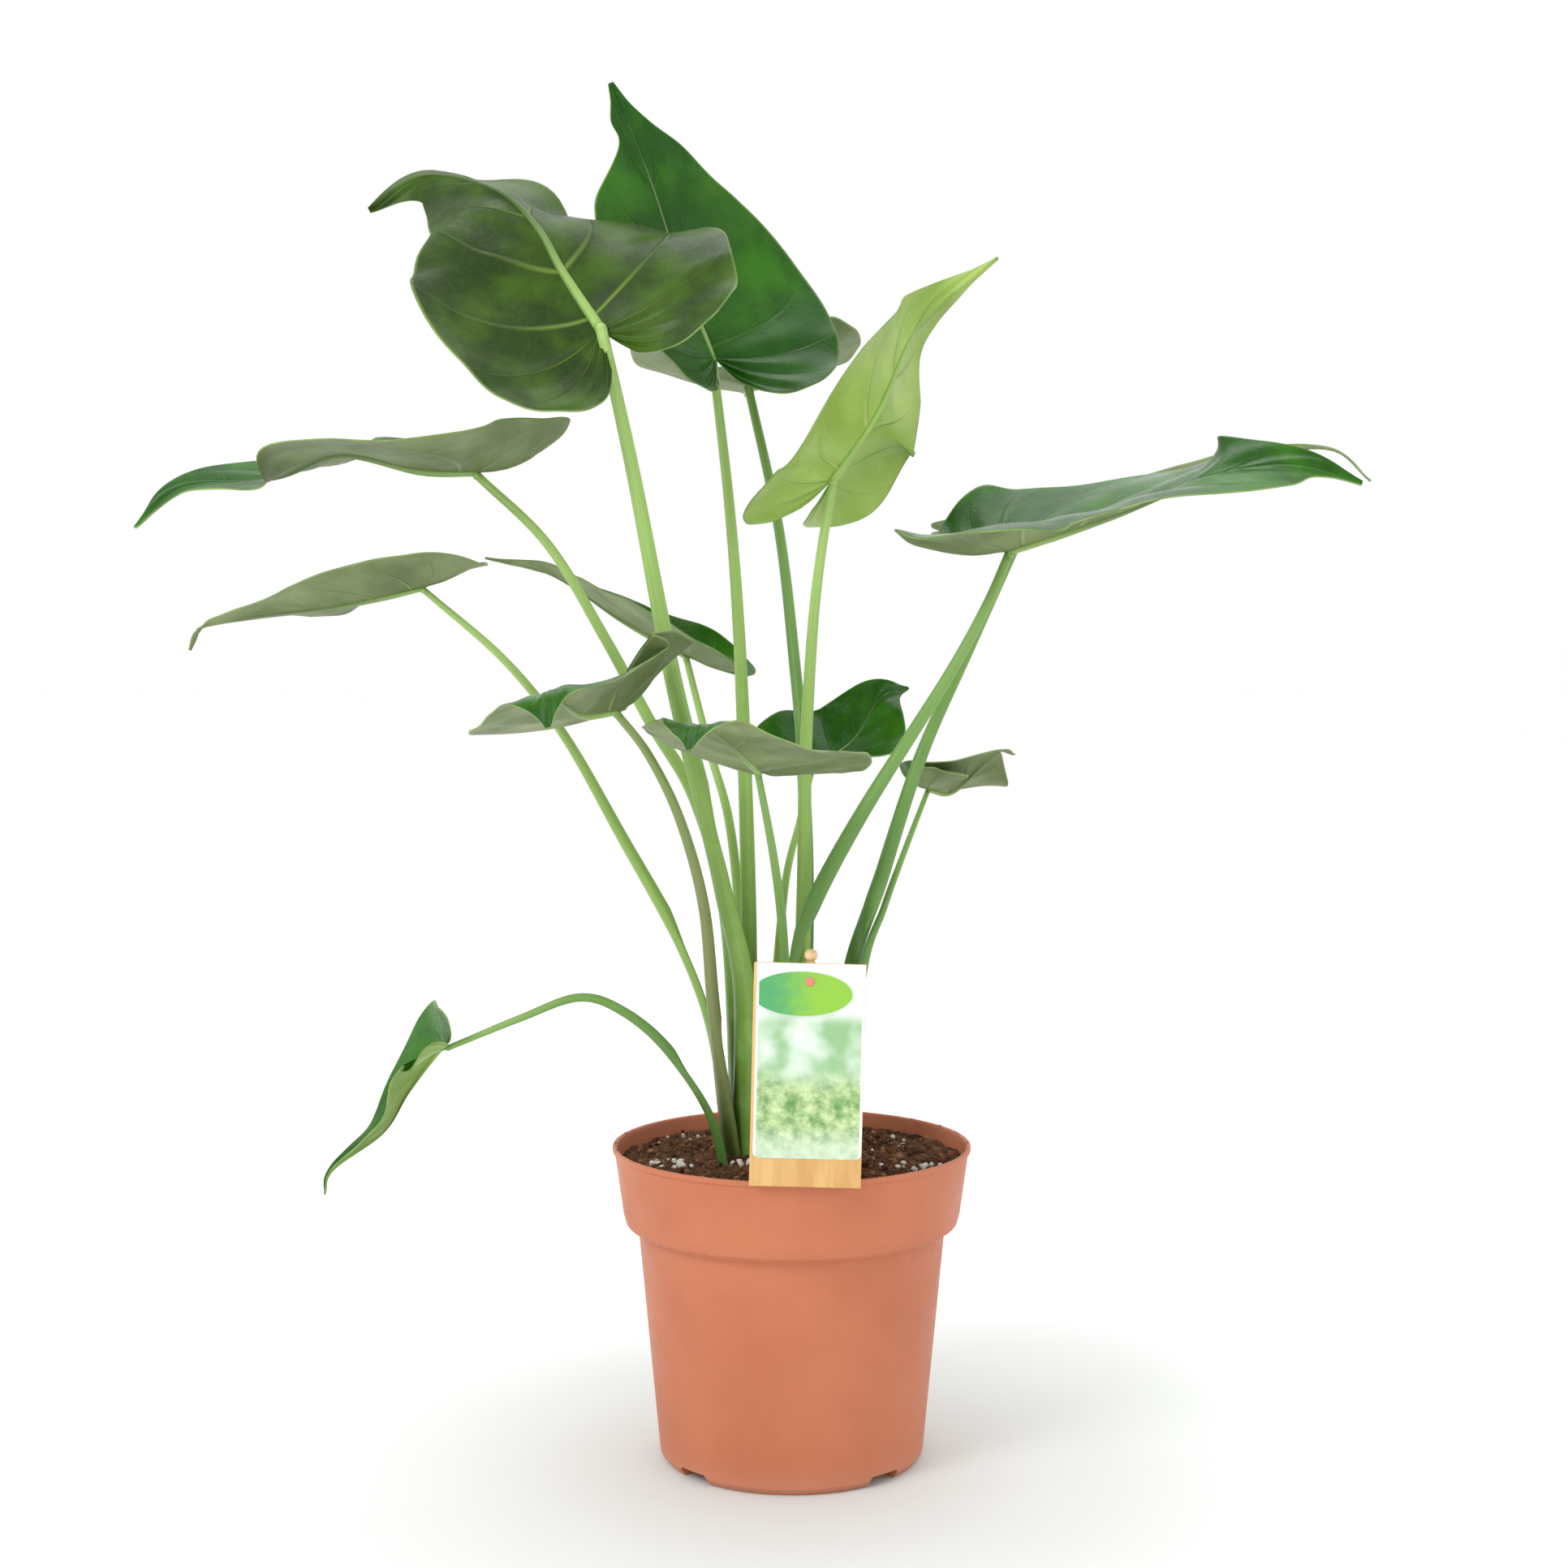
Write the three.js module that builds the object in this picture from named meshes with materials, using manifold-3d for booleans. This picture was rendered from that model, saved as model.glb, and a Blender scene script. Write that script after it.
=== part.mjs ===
// A potted alocasia: a moulded nursery pot, its compost, three shoots with fourteen leaves,
// and a plant label on a wooden stick.
// Millimetres, +Z up. The origin is the centre of the pot's base, where it meets the ground.
import * as THREE from "three";
import { mergeVertices } from "three/addons/utils/BufferGeometryUtils.js";
import Module from "manifold-3d";

const wasm = await Module();
wasm.setup();

// Driving dimensions
const POT_HEIGHT = 184;
const RIM_RADIUS = 105;
const FOOT_RADIUS = 74;
const WALL = 1.8;
const POT_SIDES = 40;
const CLEARANCE = 0.3;

// Pot, as heights and radii that follow from the driving dimensions
const COLLAR_BOTTOM = 0.738 * POT_HEIGHT;
const BEVEL_TOP = 0.788 * POT_HEIGHT;
const LIP_HEIGHT = 3;
const LIP_OVERHANG = 1.2;
const LIP_EDGE = 0.6;
const COLLAR_TAPER = 5;
const COLLAR_STEP = 2.5;
const BODY_TOP_RADIUS = RIM_RADIUS - 15;
const BODY_BOTTOM_RADIUS = FOOT_RADIUS + 3.5;
const FOOT_RING = 8;
const FOOT_CORNER = 4;
const CHANNEL_DEPTH = 7;
const CENTRE_RADIUS = 28;
const DRAIN_HOLES = 6;
const DRAIN_RADIUS = 5;
const DRAIN_CIRCLE = 48;
const NOTCHES = 4;
const NOTCH_WIDTH = 22;
const NOTCH_HEIGHT = 6.2;
const NOTCH_BEARING = Math.PI * 1.24;

// Compost
const SOIL_EDGE = POT_HEIGHT - 8;
const SOIL_MOUND = POT_HEIGHT;
const CORM_TOP = 167;

// Blade: half of the flat outline, from the notch at the stalk to the tip, as shares of the
// midrib's length and of the half width
const OUTLINE = [
  [-0.035, 0.03],
  [-0.13, 0.1],
  [-0.235, 0.3],
  [-0.25, 0.58],
  [-0.16, 0.84],
  [0.02, 0.99],
  [0.22, 0.97],
  [0.43, 0.76],
  [0.62, 0.48],
  [0.78, 0.235],
  [0.9, 0.09],
  [1.0, 0.02],
];
const BLADE_THICKNESS = 1;
const BLADE_ACROSS = 8;
const BLADE_ALONG = 10;
const NOTCH_END = 1 / 11;
const VEIN_START = 0.45;
const WAVE_LENGTH = 0.09;
const DENT_LENGTH = 0.04;

// Petiole
const STALK_SIDES = 8;
const STALK_RINGS = 11;

// Leaves. rib: the midrib, from the stalk joint to the tip. width: blade width. face: the way
// the upper side looks at the joint, half way and at the tip. For the two halves of the blade,
// first the one at the left of someone looking along the midrib with the upper side up:
// fold: angle between a half and the midrib's own plane, in degrees, at base, middle and tip;
// curl: further bend from midrib to margin, at base and tip; waves: [place, height] of the
// margin's waves; dents, where the margin is uneven: [place, share that it is wider by].
// back: how far the basal lobes bend up. stalk: the petiole from corm to blade. thick: its
// radius at the base and the top. sheath: its half width and its upper end.
const LEAVES = [
  {
    rib: [[-106, -51, 650], [-128, -43, 683], [-143, -36, 709], [-169, -18, 734], [-212, 6, 747],
      [-246, 14, 729]],
    width: 181,
    face: [[-0.28, 0.96, 0], [-0.45, 0.84, -0.3], [-0.06, 1, -0.03]],
    fold: [[-31, 29, 8], [0, 3, -8]],
    curl: [[37, -9], [-43, -9]],
    waves: [[[0.45, 8], [0.81, 25]], [[0.43, 0], [0.6, 14]]],
    dents: [[[0.5, 0.1], [0.62, -0.2], [0.74, 0.15]], [[0.66, -0.12]]],
    back: -42,
    stalk: [[-27, -12, 158], [-26, -16, 272], [-38, -19, 333], [-48, -23, 376], [-67, -33, 455],
      [-89, -44, 573]],
    thick: [8, 3.3],
    sheath: [10.5, 0.48],
  },
  {
    rib: [[-46, 40, 647], [-65, 61, 695], [-85, 52, 756], [-107, 37, 808]],
    width: 164,
    face: [[0.39, -0.84, 0.39], [0.39, -0.89, 0.24], [0.26, -0.95, 0.16]],
    fold: [[24, 5, 5], [16, 4, 6]],
    curl: [[22, 5], [-7, -7]],
    waves: [[[0.43, 0], [0.65, -5]], [[0.47, -5], [0.67, 0]]],
    dents: [[[0.76, 0.22], [0.85, -0.35], [0.91, 0.3]], [[0.8, 0.06], [0.72, -0.05]]],
    back: 27,
    stalk: [[-24, 4, 158], [-25, 5, 302], [-27, 10, 388], [-31, 20, 483], [-37, 30, 560]],
    thick: [6, 2.6],
    sheath: [7, 0.3],
  },
  {
    rib: [[-27, 104, 639], [-29, 164, 642], [-27, 258, 677]],
    width: 155,
    face: [[0, -0.12, 0.99], [0.1, 0.02, 0.99], [0.2, 0.15, 0.97]],
    fold: [[11, 1, -8], [18, 23, 10]],
    curl: [[23, -9], [12, 13]],
    waves: [[[0.43, -4], [0.76, 0]], [[0.33, 16], [0.63, -8]]],
    back: 11,
    stalk: [[2, 10, 158], [9, 16, 306], [7, 18, 402], [2, 36, 464], [-8, 69, 549]],
    thick: [5, 2.7],
    sheath: [6, 0.3],
  },
  {
    rib: [[23, -19, 570], [48, -37, 606], [74, 5, 662], [121, 22, 703]],
    width: 99,
    face: [[-0.52, 0.82, 0.25], [-0.54, 0.78, 0.32], [-0.48, 0.81, 0.35]],
    fold: [[31, 20, 36], [5, 4, 22]],
    curl: [[-18, 4], [-33, -23]],
    waves: [[[0.41, -10], [0.63, -9]], [[0.52, -7], [0.68, -9]]],
    dents: [[[0.74, -0.2], [0.84, 0.12]], [[0.72, 0.1]]],
    back: 25,
    stalk: [[2, -1, 158], [7, -2, 322], [8, -6, 408], [12, -11, 483], [17, -15, 529]],
    thick: [6, 2.5],
    sheath: [7, 0.35],
  },
  {
    rib: [[124, -19, 530], [181, -40, 549], [234, -79, 569], [281, -70, 574], [313, -72, 564]],
    width: 168,
    face: [[-0.14, 0.18, 0.97], [-0.12, -0.18, 0.98], [0.08, -0.72, 0.69]],
    fold: [[38, 11, 23], [17, 8, 18]],
    curl: [[-6, 0], [-41, -12]],
    waves: [[[0.36, 14], [0.55, -5]], [[0.31, 4], [0.8, -6]]],
    back: 28,
    stalk: [[-13, -14, 158], [-2, -16, 286], [12, -17, 326], [41, -18, 380], [88, -18, 455],
      [111, -19, 497]],
    thick: [7, 2.6],
    sheath: [8, 0.42],
  },
  {
    rib: [[-180, -19, 575], [-210, -29, 575], [-256, -27, 584], [-296, -14, 572], [-345, -29, 565],
      [-365, -56, 541]],
    width: 126,
    face: [[-0.06, 0.1, 0.99], [0.31, -0.18, 0.94], [-0.33, -0.69, 0.65]],
    fold: [[10, 8, 17], [13, 1, 8]],
    curl: [[2, -10], [22, -12]],
    waves: [[[0.41, 6], [0.64, -1]], [[0.5, 2], [0.65, 2]]],
    back: 39,
    stalk: [[-30, 6, 158], [-37, 2, 308], [-55, -4, 384], [-82, -9, 432], [-108, -14, 481],
      [-140, -18, 534]],
    thick: [5.5, 2.4],
    sheath: [7, 0.3],
  },
  {
    rib: [[-211, -21, 509], [-252, -31, 499], [-291, -31, 494], [-328, -34, 488], [-335, -40, 483],
      [-340, -39, 473]],
    width: 79,
    face: [[0.11, 0.14, 0.98], [0.02, 0.38, 0.92], [-0.29, 0.25, 0.92]],
    fold: [[16, 11, 10], [23, 11, 12]],
    curl: [[14, -2], [-12, 0]],
    waves: [[[0.3, -12], [0.69, -4]], [[0.44, 4], [0.7, 4]]],
    back: 10,
    stalk: [[-34, -7, 158], [-42, -12, 238], [-60, -12, 295], [-99, -8, 366], [-132, -7, 424],
      [-165, -14, 467]],
    thick: [5.5, 1.8],
    sheath: [8, 0.42],
  },
  {
    rib: [[-64, 79, 470], [-104, 93, 492], [-150, 111, 521], [-190, 92, 531]],
    width: 79,
    face: [[-0.22, 0.14, 0.97], [-0.1, 0.2, 0.97], [-0.24, -0.02, 0.97]],
    fold: [[22, 20, 20], [11, 15, 2]],
    curl: [[-1, -12], [26, -5]],
    waves: [[[0.37, 1], [0.6, 2]], [[0.46, 4], [0.55, 1]]],
    back: 9,
    stalk: [[-22, 14, 158], [-29, 24, 290], [-37, 42, 367], [-50, 60, 413]],
    thick: [4.5, 2],
    sheath: [5.5, 0.3],
  },
  {
    rib: [[-98, -59, 439], [-116, -85, 438], [-126, -154, 451], [-121, -198, 433]],
    width: 130,
    face: [[-0.35, 0.24, 0.91], [-0.24, 0.11, 0.97], [-0.2, -0.82, 0.53]],
    fold: [[22, 12, 7], [8, -7, 5]],
    curl: [[2, -11], [19, 0]],
    waves: [[[0.37, -10], [0.74, -8]], [[0.39, 3], [0.72, -1]]],
    back: 42,
    stalk: [[-31, -15, 158], [-44, -24, 259], [-50, -33, 326], [-63, -44, 377], [-80, -54, 414]],
    thick: [5, 2.2],
    sheath: [6.5, 0.35],
  },
  {
    rib: [[-18, -77, 406], [-32, -131, 423], [-46, -165, 434], [-51, -199, 422]],
    width: 128,
    face: [[0.2, 0.07, 0.98], [-0.03, -0.11, 0.99], [-0.3, -0.8, 0.52]],
    fold: [[18, 8, 3], [1, 9, -16]],
    curl: [[-14, 2], [17, -3]],
    waves: [[[0.46, 6], [0.65, -7]], [[0.45, -3], [0.74, 2]]],
    back: 22,
    stalk: [[-10, -14, 158], [-4, -24, 249], [-5, -42, 312], [-10, -59, 357]],
    thick: [4.5, 1.9],
    sheath: [5.5, 0.35],
  },
  {
    rib: [[12, 68, 401], [38, 88, 418], [56, 103, 445], [74, 123, 450]],
    width: 96,
    face: [[-0.25, -0.68, 0.69], [-0.17, -0.8, 0.58], [0.23, -0.87, 0.44]],
    fold: [[10, 5, 17], [32, 10, 10]],
    curl: [[8, 1], [15, 8]],
    waves: [[[0.41, 0], [0.69, -6]], [[0.44, -2], [0.68, 0]]],
    back: 27,
    stalk: [[-12, 10, 158], [-10, 18, 258], [-4, 38, 332], [5, 55, 370]],
    thick: [4, 1.8],
    sheath: [5, 0.3],
  },
  {
    rib: [[83, 60, 389], [99, 63, 388], [122, 34, 412], [134, 42, 411]],
    width: 65,
    face: [[0.17, 0.01, 0.98], [0.08, 0.18, 0.98], [0, 0.1, 0.99]],
    fold: [[25, 12, 3], [20, 9, 2]],
    curl: [[9, 8], [-1, -24]],
    waves: [[[0.41, 0], [0.65, -10]], [[0.37, 4], [0.58, 7]]],
    back: 34,
    stalk: [[31, -5, 158], [41, 0, 279], [55, 16, 322], [69, 38, 356]],
    thick: [3.5, 1.5],
    sheath: [4.5, 0.35],
  },
  {
    rib: [[-194, -61, 251], [-201, -50, 246], [-219, -41, 222], [-232, -47, 200], [-257, -66, 182],
      [-260, -73, 170]],
    width: 54,
    face: [[-0.85, -0.24, 0.47], [-0.64, -0.33, 0.69], [-0.5, -0.44, 0.75]],
    fold: [[40, 38, 43], [34, 23, 30]],
    curl: [[-6, 25], [4, -23]],
    waves: [[[0.44, -2], [0.62, -1]], [[0.34, 5], [0.69, -2]]],
    back: 31,
    stalk: [[-35, -29, 158], [-45, -30, 205], [-70, -38, 245], [-95, -44, 268], [-120, -49, 277],
      [-153, -55, 266]],
    thick: [4.5, 1.6],
    sheath: [7, 0.4],
  },
  {
    rib: [[144, 95, 551], [213, 92, 569], [287, 84, 592], [329, 72, 596], [351, 62, 576]],
    width: 80,
    face: [[-0.2, 0.1, 0.97], [-0.15, 0.05, 0.98], [0.1, 0, 0.99]],
    fold: [[12, 8, 6], [12, 8, 6]],
    curl: [[6, -8], [6, -8]],
    waves: [[[0.4, 4], [0.65, -3]], [[0.45, -3], [0.7, 4]]],
    back: 15,
    stalk: [[29, 5, 158], [34, 10, 278], [53, 12, 340], [77, 20, 412], [107, 50, 474]],
    thick: [6.5, 2.4],
    sheath: [8, 0.4],
  },
];

// Three shoots: a corm's centre, across X and Y, and its radius
const CORMS = {
  corm_main: [-16, -2, 27],
  corm_right: [33, 1, 12],
  corm_offset: [-37, -34, 9],
};

// Label
const CARD = { width: 60.6, height: 122, thickness: 1.2, corner: 3, x: 8.6, y: -107.6, z: 243.1 };
const CARD_LEAN = THREE.MathUtils.degToRad(1.4);
const STICK = { bottom: [8, -78, 105], top: [10.6, -103.6, 311], radius: 2.5, knob: 3.6 };
const RIVET = { height: 294, x: 9.9, head: 2.6, shank: 1.3 };

const COLOURS = {
  pot: 0xd08465,
  soil: 0x46301f,
  corm: 0x8a7350,
  leaf: 0x3f7a2c,
  youngLeaf: 0x9bc25c,
  stalk: 0x9ac565,
  card: 0xd9b480,
  wood: 0xd8bf94,
  rivet: 0xd98f86,
};

const group = new THREE.Group();
group.name = "potted_alocasia";

// Solids

function volumeOf(geometry) {
  const points = geometry.attributes.position;
  const index = geometry.index;
  const [a, b, c] = [new THREE.Vector3(), new THREE.Vector3(), new THREE.Vector3()];
  let sum = 0;
  for (let i = 0; i < index.count; i += 3) {
    a.fromBufferAttribute(points, index.getX(i));
    b.fromBufferAttribute(points, index.getX(i + 1));
    c.fromBufferAttribute(points, index.getX(i + 2));
    sum += a.dot(b.cross(c)) / 6;
  }
  return sum;
}

// A closed geometry as a manifold solid with its faces pointing out
function solidOf(geometry) {
  const bare = geometry.clone();
  bare.deleteAttribute("normal");
  bare.deleteAttribute("uv");
  const merged = mergeVertices(bare, 1e-3);
  const triVerts = new Uint32Array(merged.index.array);
  if (volumeOf(merged) < 0) triVerts.reverse();
  return new wasm.Manifold(
    new wasm.Mesh({ numProp: 3, vertProperties: merged.attributes.position.array, triVerts }),
  );
}

function geometryOf(solid) {
  const mesh = solid.getMesh();
  const geometry = new THREE.BufferGeometry();
  geometry.setAttribute("position", new THREE.BufferAttribute(mesh.vertProperties, mesh.numProp));
  geometry.setIndex(new THREE.BufferAttribute(mesh.triVerts, 1));
  geometry.computeVertexNormals();
  return geometry;
}

// The largest body that is left of a solid once the cutters are taken away
function cutBy(solid, cutters) {
  let left = solid;
  for (const cutter of cutters) left = left.subtract(cutter);
  const bodies = left.decompose();
  bodies.sort((a, b) => b.volume() - a.volume());
  return bodies[0];
}

function addNode(name, solid, colour, roughness) {
  const material = new THREE.MeshStandardMaterial({ color: colour, roughness, metalness: 0 });
  const mesh = new THREE.Mesh(geometryOf(solid), material);
  mesh.name = name;
  group.add(mesh);
}

// A solid of revolution about Z, from [radius, height] pairs
function turned(profile, sides) {
  const points = profile.map(([radius, height]) => new THREE.Vector2(radius, height));
  return new THREE.LatheGeometry(points, sides).rotateX(Math.PI / 2);
}

// Pot

const INNER_RIM = RIM_RADIUS - LIP_OVERHANG;

function potProfile() {
  const lip = POT_HEIGHT - LIP_HEIGHT;
  const collar = RIM_RADIUS - LIP_OVERHANG;
  const floor = CHANNEL_DEPTH + WALL;
  return [
    [0, 0],
    [CENTRE_RADIUS, 0],
    [CENTRE_RADIUS + 3, CHANNEL_DEPTH],
    [FOOT_RADIUS - FOOT_RING - 3, CHANNEL_DEPTH],
    [FOOT_RADIUS - FOOT_RING, 0],
    [FOOT_RADIUS, 0],
    [BODY_BOTTOM_RADIUS, FOOT_CORNER],
    [BODY_TOP_RADIUS, COLLAR_BOTTOM],
    [BODY_TOP_RADIUS + COLLAR_STEP, COLLAR_BOTTOM],
    [collar - 1.3 * COLLAR_TAPER, COLLAR_BOTTOM + 3.5],
    [collar - COLLAR_TAPER, BEVEL_TOP],
    [collar, lip],
    [RIM_RADIUS - LIP_EDGE, lip],
    [RIM_RADIUS, lip + LIP_EDGE],
    [RIM_RADIUS, POT_HEIGHT - LIP_EDGE],
    [RIM_RADIUS - LIP_EDGE, POT_HEIGHT],
    [INNER_RIM - WALL + LIP_EDGE, POT_HEIGHT],
    [INNER_RIM - WALL, lip],
    [collar - COLLAR_TAPER - WALL, BEVEL_TOP],
    [BODY_TOP_RADIUS - WALL, COLLAR_BOTTOM - 1],
    [FOOT_RADIUS - WALL, floor],
    [CENTRE_RADIUS - 1, floor],
    [CENTRE_RADIUS - 3, WALL],
    [0, WALL],
  ];
}

function drainCutters() {
  const cutters = [];
  for (let i = 0; i < DRAIN_HOLES; i++) {
    const bearing = ((i + 0.5) * 2 * Math.PI) / DRAIN_HOLES;
    const hole = new THREE.CylinderGeometry(DRAIN_RADIUS, DRAIN_RADIUS, 20, 10);
    hole.rotateX(Math.PI / 2);
    hole.translate(DRAIN_CIRCLE * Math.cos(bearing), DRAIN_CIRCLE * Math.sin(bearing), 5);
    cutters.push(solidOf(hole));
  }
  for (let i = 0; i < NOTCHES; i++) {
    const notch = new THREE.BoxGeometry(3 * FOOT_RING, NOTCH_WIDTH, 2 * NOTCH_HEIGHT);
    notch.translate(FOOT_RADIUS, 0, 0);
    notch.rotateZ(NOTCH_BEARING + (i * 2 * Math.PI) / NOTCHES);
    cutters.push(solidOf(notch));
  }
  return cutters;
}

function soilProfile() {
  const gap = CLEARANCE + WALL;
  const collar = RIM_RADIUS - LIP_OVERHANG;
  const floor = CHANNEL_DEPTH + WALL + CLEARANCE;
  const upTheCollar = (SOIL_EDGE - BEVEL_TOP) / (POT_HEIGHT - LIP_HEIGHT - BEVEL_TOP);
  const edge = collar - COLLAR_TAPER * (1 - upTheCollar) - CLEARANCE - gap;
  const drop = SOIL_MOUND - SOIL_EDGE;
  return [
    [0, WALL + CLEARANCE],
    [CENTRE_RADIUS - 3.5, WALL + CLEARANCE],
    [CENTRE_RADIUS - 1.5, floor],
    [FOOT_RADIUS - gap, floor],
    [BODY_TOP_RADIUS - gap, COLLAR_BOTTOM - 1],
    [collar - COLLAR_TAPER - gap, BEVEL_TOP + 0.5],
    [edge, SOIL_EDGE],
    [0.8 * edge, SOIL_EDGE + 0.12 * drop],
    [0.6 * edge, SOIL_EDGE + 0.3 * drop],
    [0.4 * edge, SOIL_EDGE + 0.7 * drop],
    [0.2 * edge, SOIL_EDGE + 0.95 * drop],
    [0, SOIL_MOUND],
  ];
}

// Leaves

function curveThrough(points) {
  const vectors = points.map((point) => new THREE.Vector3(...point));
  return new THREE.CatmullRomCurve3(vectors, false, "catmullrom", 0.5);
}

// Value at share u of a list of evenly spaced values
function between(values, u) {
  const place = THREE.MathUtils.clamp(u, 0, 1) * (values.length - 1);
  const step = Math.min(Math.floor(place), values.length - 2);
  return THREE.MathUtils.lerp(values[step], values[step + 1], place - step);
}

const outlineCurve = curveThrough(OUTLINE.map(([along, across]) => [along, across, 0]));

function directionAt(curve, u) {
  const step = 0.02;
  const ahead = curve.getPointAt(Math.min(u + step, 1));
  const behind = curve.getPointAt(Math.max(u - step, 0));
  return ahead.sub(behind).normalize();
}

// Midrib frame at share u: its point, its direction and the way the upper side faces
function ribFrame(leaf, curve, u) {
  const along = directionAt(curve, u);
  const faces = leaf.face.map((face) => new THREE.Vector3(...face).normalize().toArray());
  const facing = new THREE.Vector3(
    between(faces.map((face) => face[0]), u),
    between(faces.map((face) => face[1]), u),
    between(faces.map((face) => face[2]), u),
  );
  facing.addScaledVector(along, -facing.dot(along)).normalize();
  return { point: curve.getPointAt(u), along, facing };
}

// A point of a blade. across runs from -1 to 1 between the margins, along from the notch at
// the stalk to the tip, and lift is the height above the blade's middle surface. A blade that
// is not notched runs straight across between its lobes.
function bladePoint(leaf, curve, across, along, lift, notched) {
  const half = Math.abs(across);
  const side = across < 0 ? 0 : 1;
  const sign = across < 0 ? -1 : 1;
  const edge = outlineCurve.getPoint(along);
  const veinStart = Math.max((along - VEIN_START) / (1 - VEIN_START), 0) ** 1.3;
  const start = notched ? veinStart : edge.x;
  const u = start + half * (edge.x - start);
  let reach = (half * edge.y * leaf.width) / 2;
  for (const [place, share] of leaf.dents?.[side] ?? []) {
    reach *= 1 + share * half ** 2 * Math.exp(-(((along - place) / DENT_LENGTH) ** 2));
  }
  const { point, along: rib, facing } = ribFrame(leaf, curve, THREE.MathUtils.clamp(u, 0, 1));
  const sideways = new THREE.Vector3().crossVectors(rib, facing);
  const behind = Math.max(-u, 0);
  const bend = THREE.MathUtils.degToRad(leaf.back) * (behind / 0.25);
  point.addScaledVector(rib, -behind * curve.getLength() * Math.cos(bend / 2));
  point.addScaledVector(facing, behind * curve.getLength() * Math.sin(bend / 2));
  const up = facing.clone().multiplyScalar(Math.cos(bend)).addScaledVector(rib, Math.sin(bend));
  const fold = THREE.MathUtils.degToRad(between(leaf.fold[side], u));
  const curl = THREE.MathUtils.degToRad(between(leaf.curl[side], u)) * (reach / (leaf.width / 2));
  const angle = fold + curl;
  const chord = Math.abs(curl) < 1e-3 ? reach : (reach * Math.sin(curl / 2)) / (curl / 2);
  const out = chord * Math.cos(fold + curl / 2);
  const rise = chord * Math.sin(fold + curl / 2);
  let wave = lift;
  for (const [place, height] of leaf.waves[side]) {
    wave += height * half ** 2 * Math.exp(-(((along - place) / WAVE_LENGTH) ** 2));
  }
  point.addScaledVector(sideways, sign * (out - wave * Math.sin(angle)));
  return point.addScaledVector(up, rise + wave * Math.cos(angle));
}

// Splits the squares of a slab's underside along the same diagonals as those above them, so
// that the two faces stay parallel when the slab is bent
function turnDiagonals(slab) {
  const corners = slab.index;
  const underside = slab.groups[5];
  for (let i = underside.start; i < underside.start + underside.count; i += 6) {
    const [a, b, d, , c] = [0, 1, 2, 3, 4].map((k) => corners.getX(i + k));
    [a, b, c, a, c, d].forEach((corner, k) => corners.setX(i + k, corner));
  }
}

function bladeSolid(leaf, bottom, top, notched) {
  const slab = new THREE.BoxGeometry(2, 1, top - bottom, BLADE_ACROSS, BLADE_ALONG, 1);
  slab.translate(0, 0, (top + bottom) / 2);
  turnDiagonals(slab);
  const curve = curveThrough(leaf.rib);
  const places = slab.attributes.position;
  for (let i = 0; i < places.count; i++) {
    const along = THREE.MathUtils.lerp(NOTCH_END, 1, places.getY(i) + 0.5);
    const point = bladePoint(leaf, curve, places.getX(i), along, places.getZ(i), notched);
    places.setXYZ(i, ...point);
  }
  return solidOf(slab);
}

// A petiole is round at the top and widens into a flat sheath near the base. grow makes it
// larger all round, as a cutter.
function stalkSolid(leaf, grow) {
  const tube = new THREE.CylinderGeometry(1, 1, 1, STALK_SIDES, STALK_RINGS);
  const curve = curveThrough([...leaf.stalk, stalkHead(leaf)]);
  const [foot, head] = [leaf.stalk[0], leaf.rib[0]];
  const side = new THREE.Vector3(foot[1] - head[1], head[0] - foot[0], 0).normalize();
  const places = tube.attributes.position;
  for (let i = 0; i < places.count; i++) {
    const u = THREE.MathUtils.clamp(places.getY(i) + 0.5, 0, 1);
    const along = directionAt(curve, u);
    const across = side.clone().addScaledVector(along, -side.dot(along)).normalize();
    const out = new THREE.Vector3().crossVectors(across, along);
    const radius = THREE.MathUtils.lerp(leaf.thick[0], leaf.thick[1], u ** 0.6);
    const width = Math.max(radius, sheathWidth(leaf, u));
    const point = curve.getPointAt(u);
    point.addScaledVector(across, places.getX(i) * (width + grow));
    point.addScaledVector(out, places.getZ(i) * (radius + grow));
    if (u === 0) point.addScaledVector(along, -3 * grow);
    if (u === 1) point.addScaledVector(along, grow);
    places.setXYZ(i, ...point);
  }
  return solidOf(tube);
}

// The top of a petiole lies just under its blade: its own radius below where the two run the
// same way, and close to the surface where it meets the blade square on
function stalkHead(leaf) {
  const joint = new THREE.Vector3(...leaf.rib[0]);
  const { facing } = ribFrame(leaf, curveThrough(leaf.rib), 0);
  const arrival = joint.clone().sub(new THREE.Vector3(...leaf.stalk.at(-1))).normalize();
  const slant = new THREE.Vector3().crossVectors(arrival, facing).length();
  const gap = BLADE_THICKNESS / 2 + CLEARANCE + leaf.thick[1] * slant;
  return joint.addScaledVector(facing, -gap).toArray();
}

function sheathWidth(leaf, u) {
  const [widest, end] = leaf.sheath;
  if (u > end) return 0;
  return THREE.MathUtils.lerp(widest, leaf.thick[1], (u / end) ** 2.5);
}

function cormSolid([x, y, radius], grow) {
  const ball = new THREE.SphereGeometry(radius + grow, 14, 8);
  ball.scale(1, 1, (0.6 * radius + grow) / (radius + grow));
  ball.translate(x, y, CORM_TOP - 0.6 * radius);
  return solidOf(ball);
}

// The space above a blade's underside, its notch included, as a cutter for the top of its stalk
function bladeCutter(leaf) {
  return bladeSolid(leaf, -BLADE_THICKNESS / 2 - CLEARANCE, 2 * leaf.thick[1], false);
}

// Label

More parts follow.
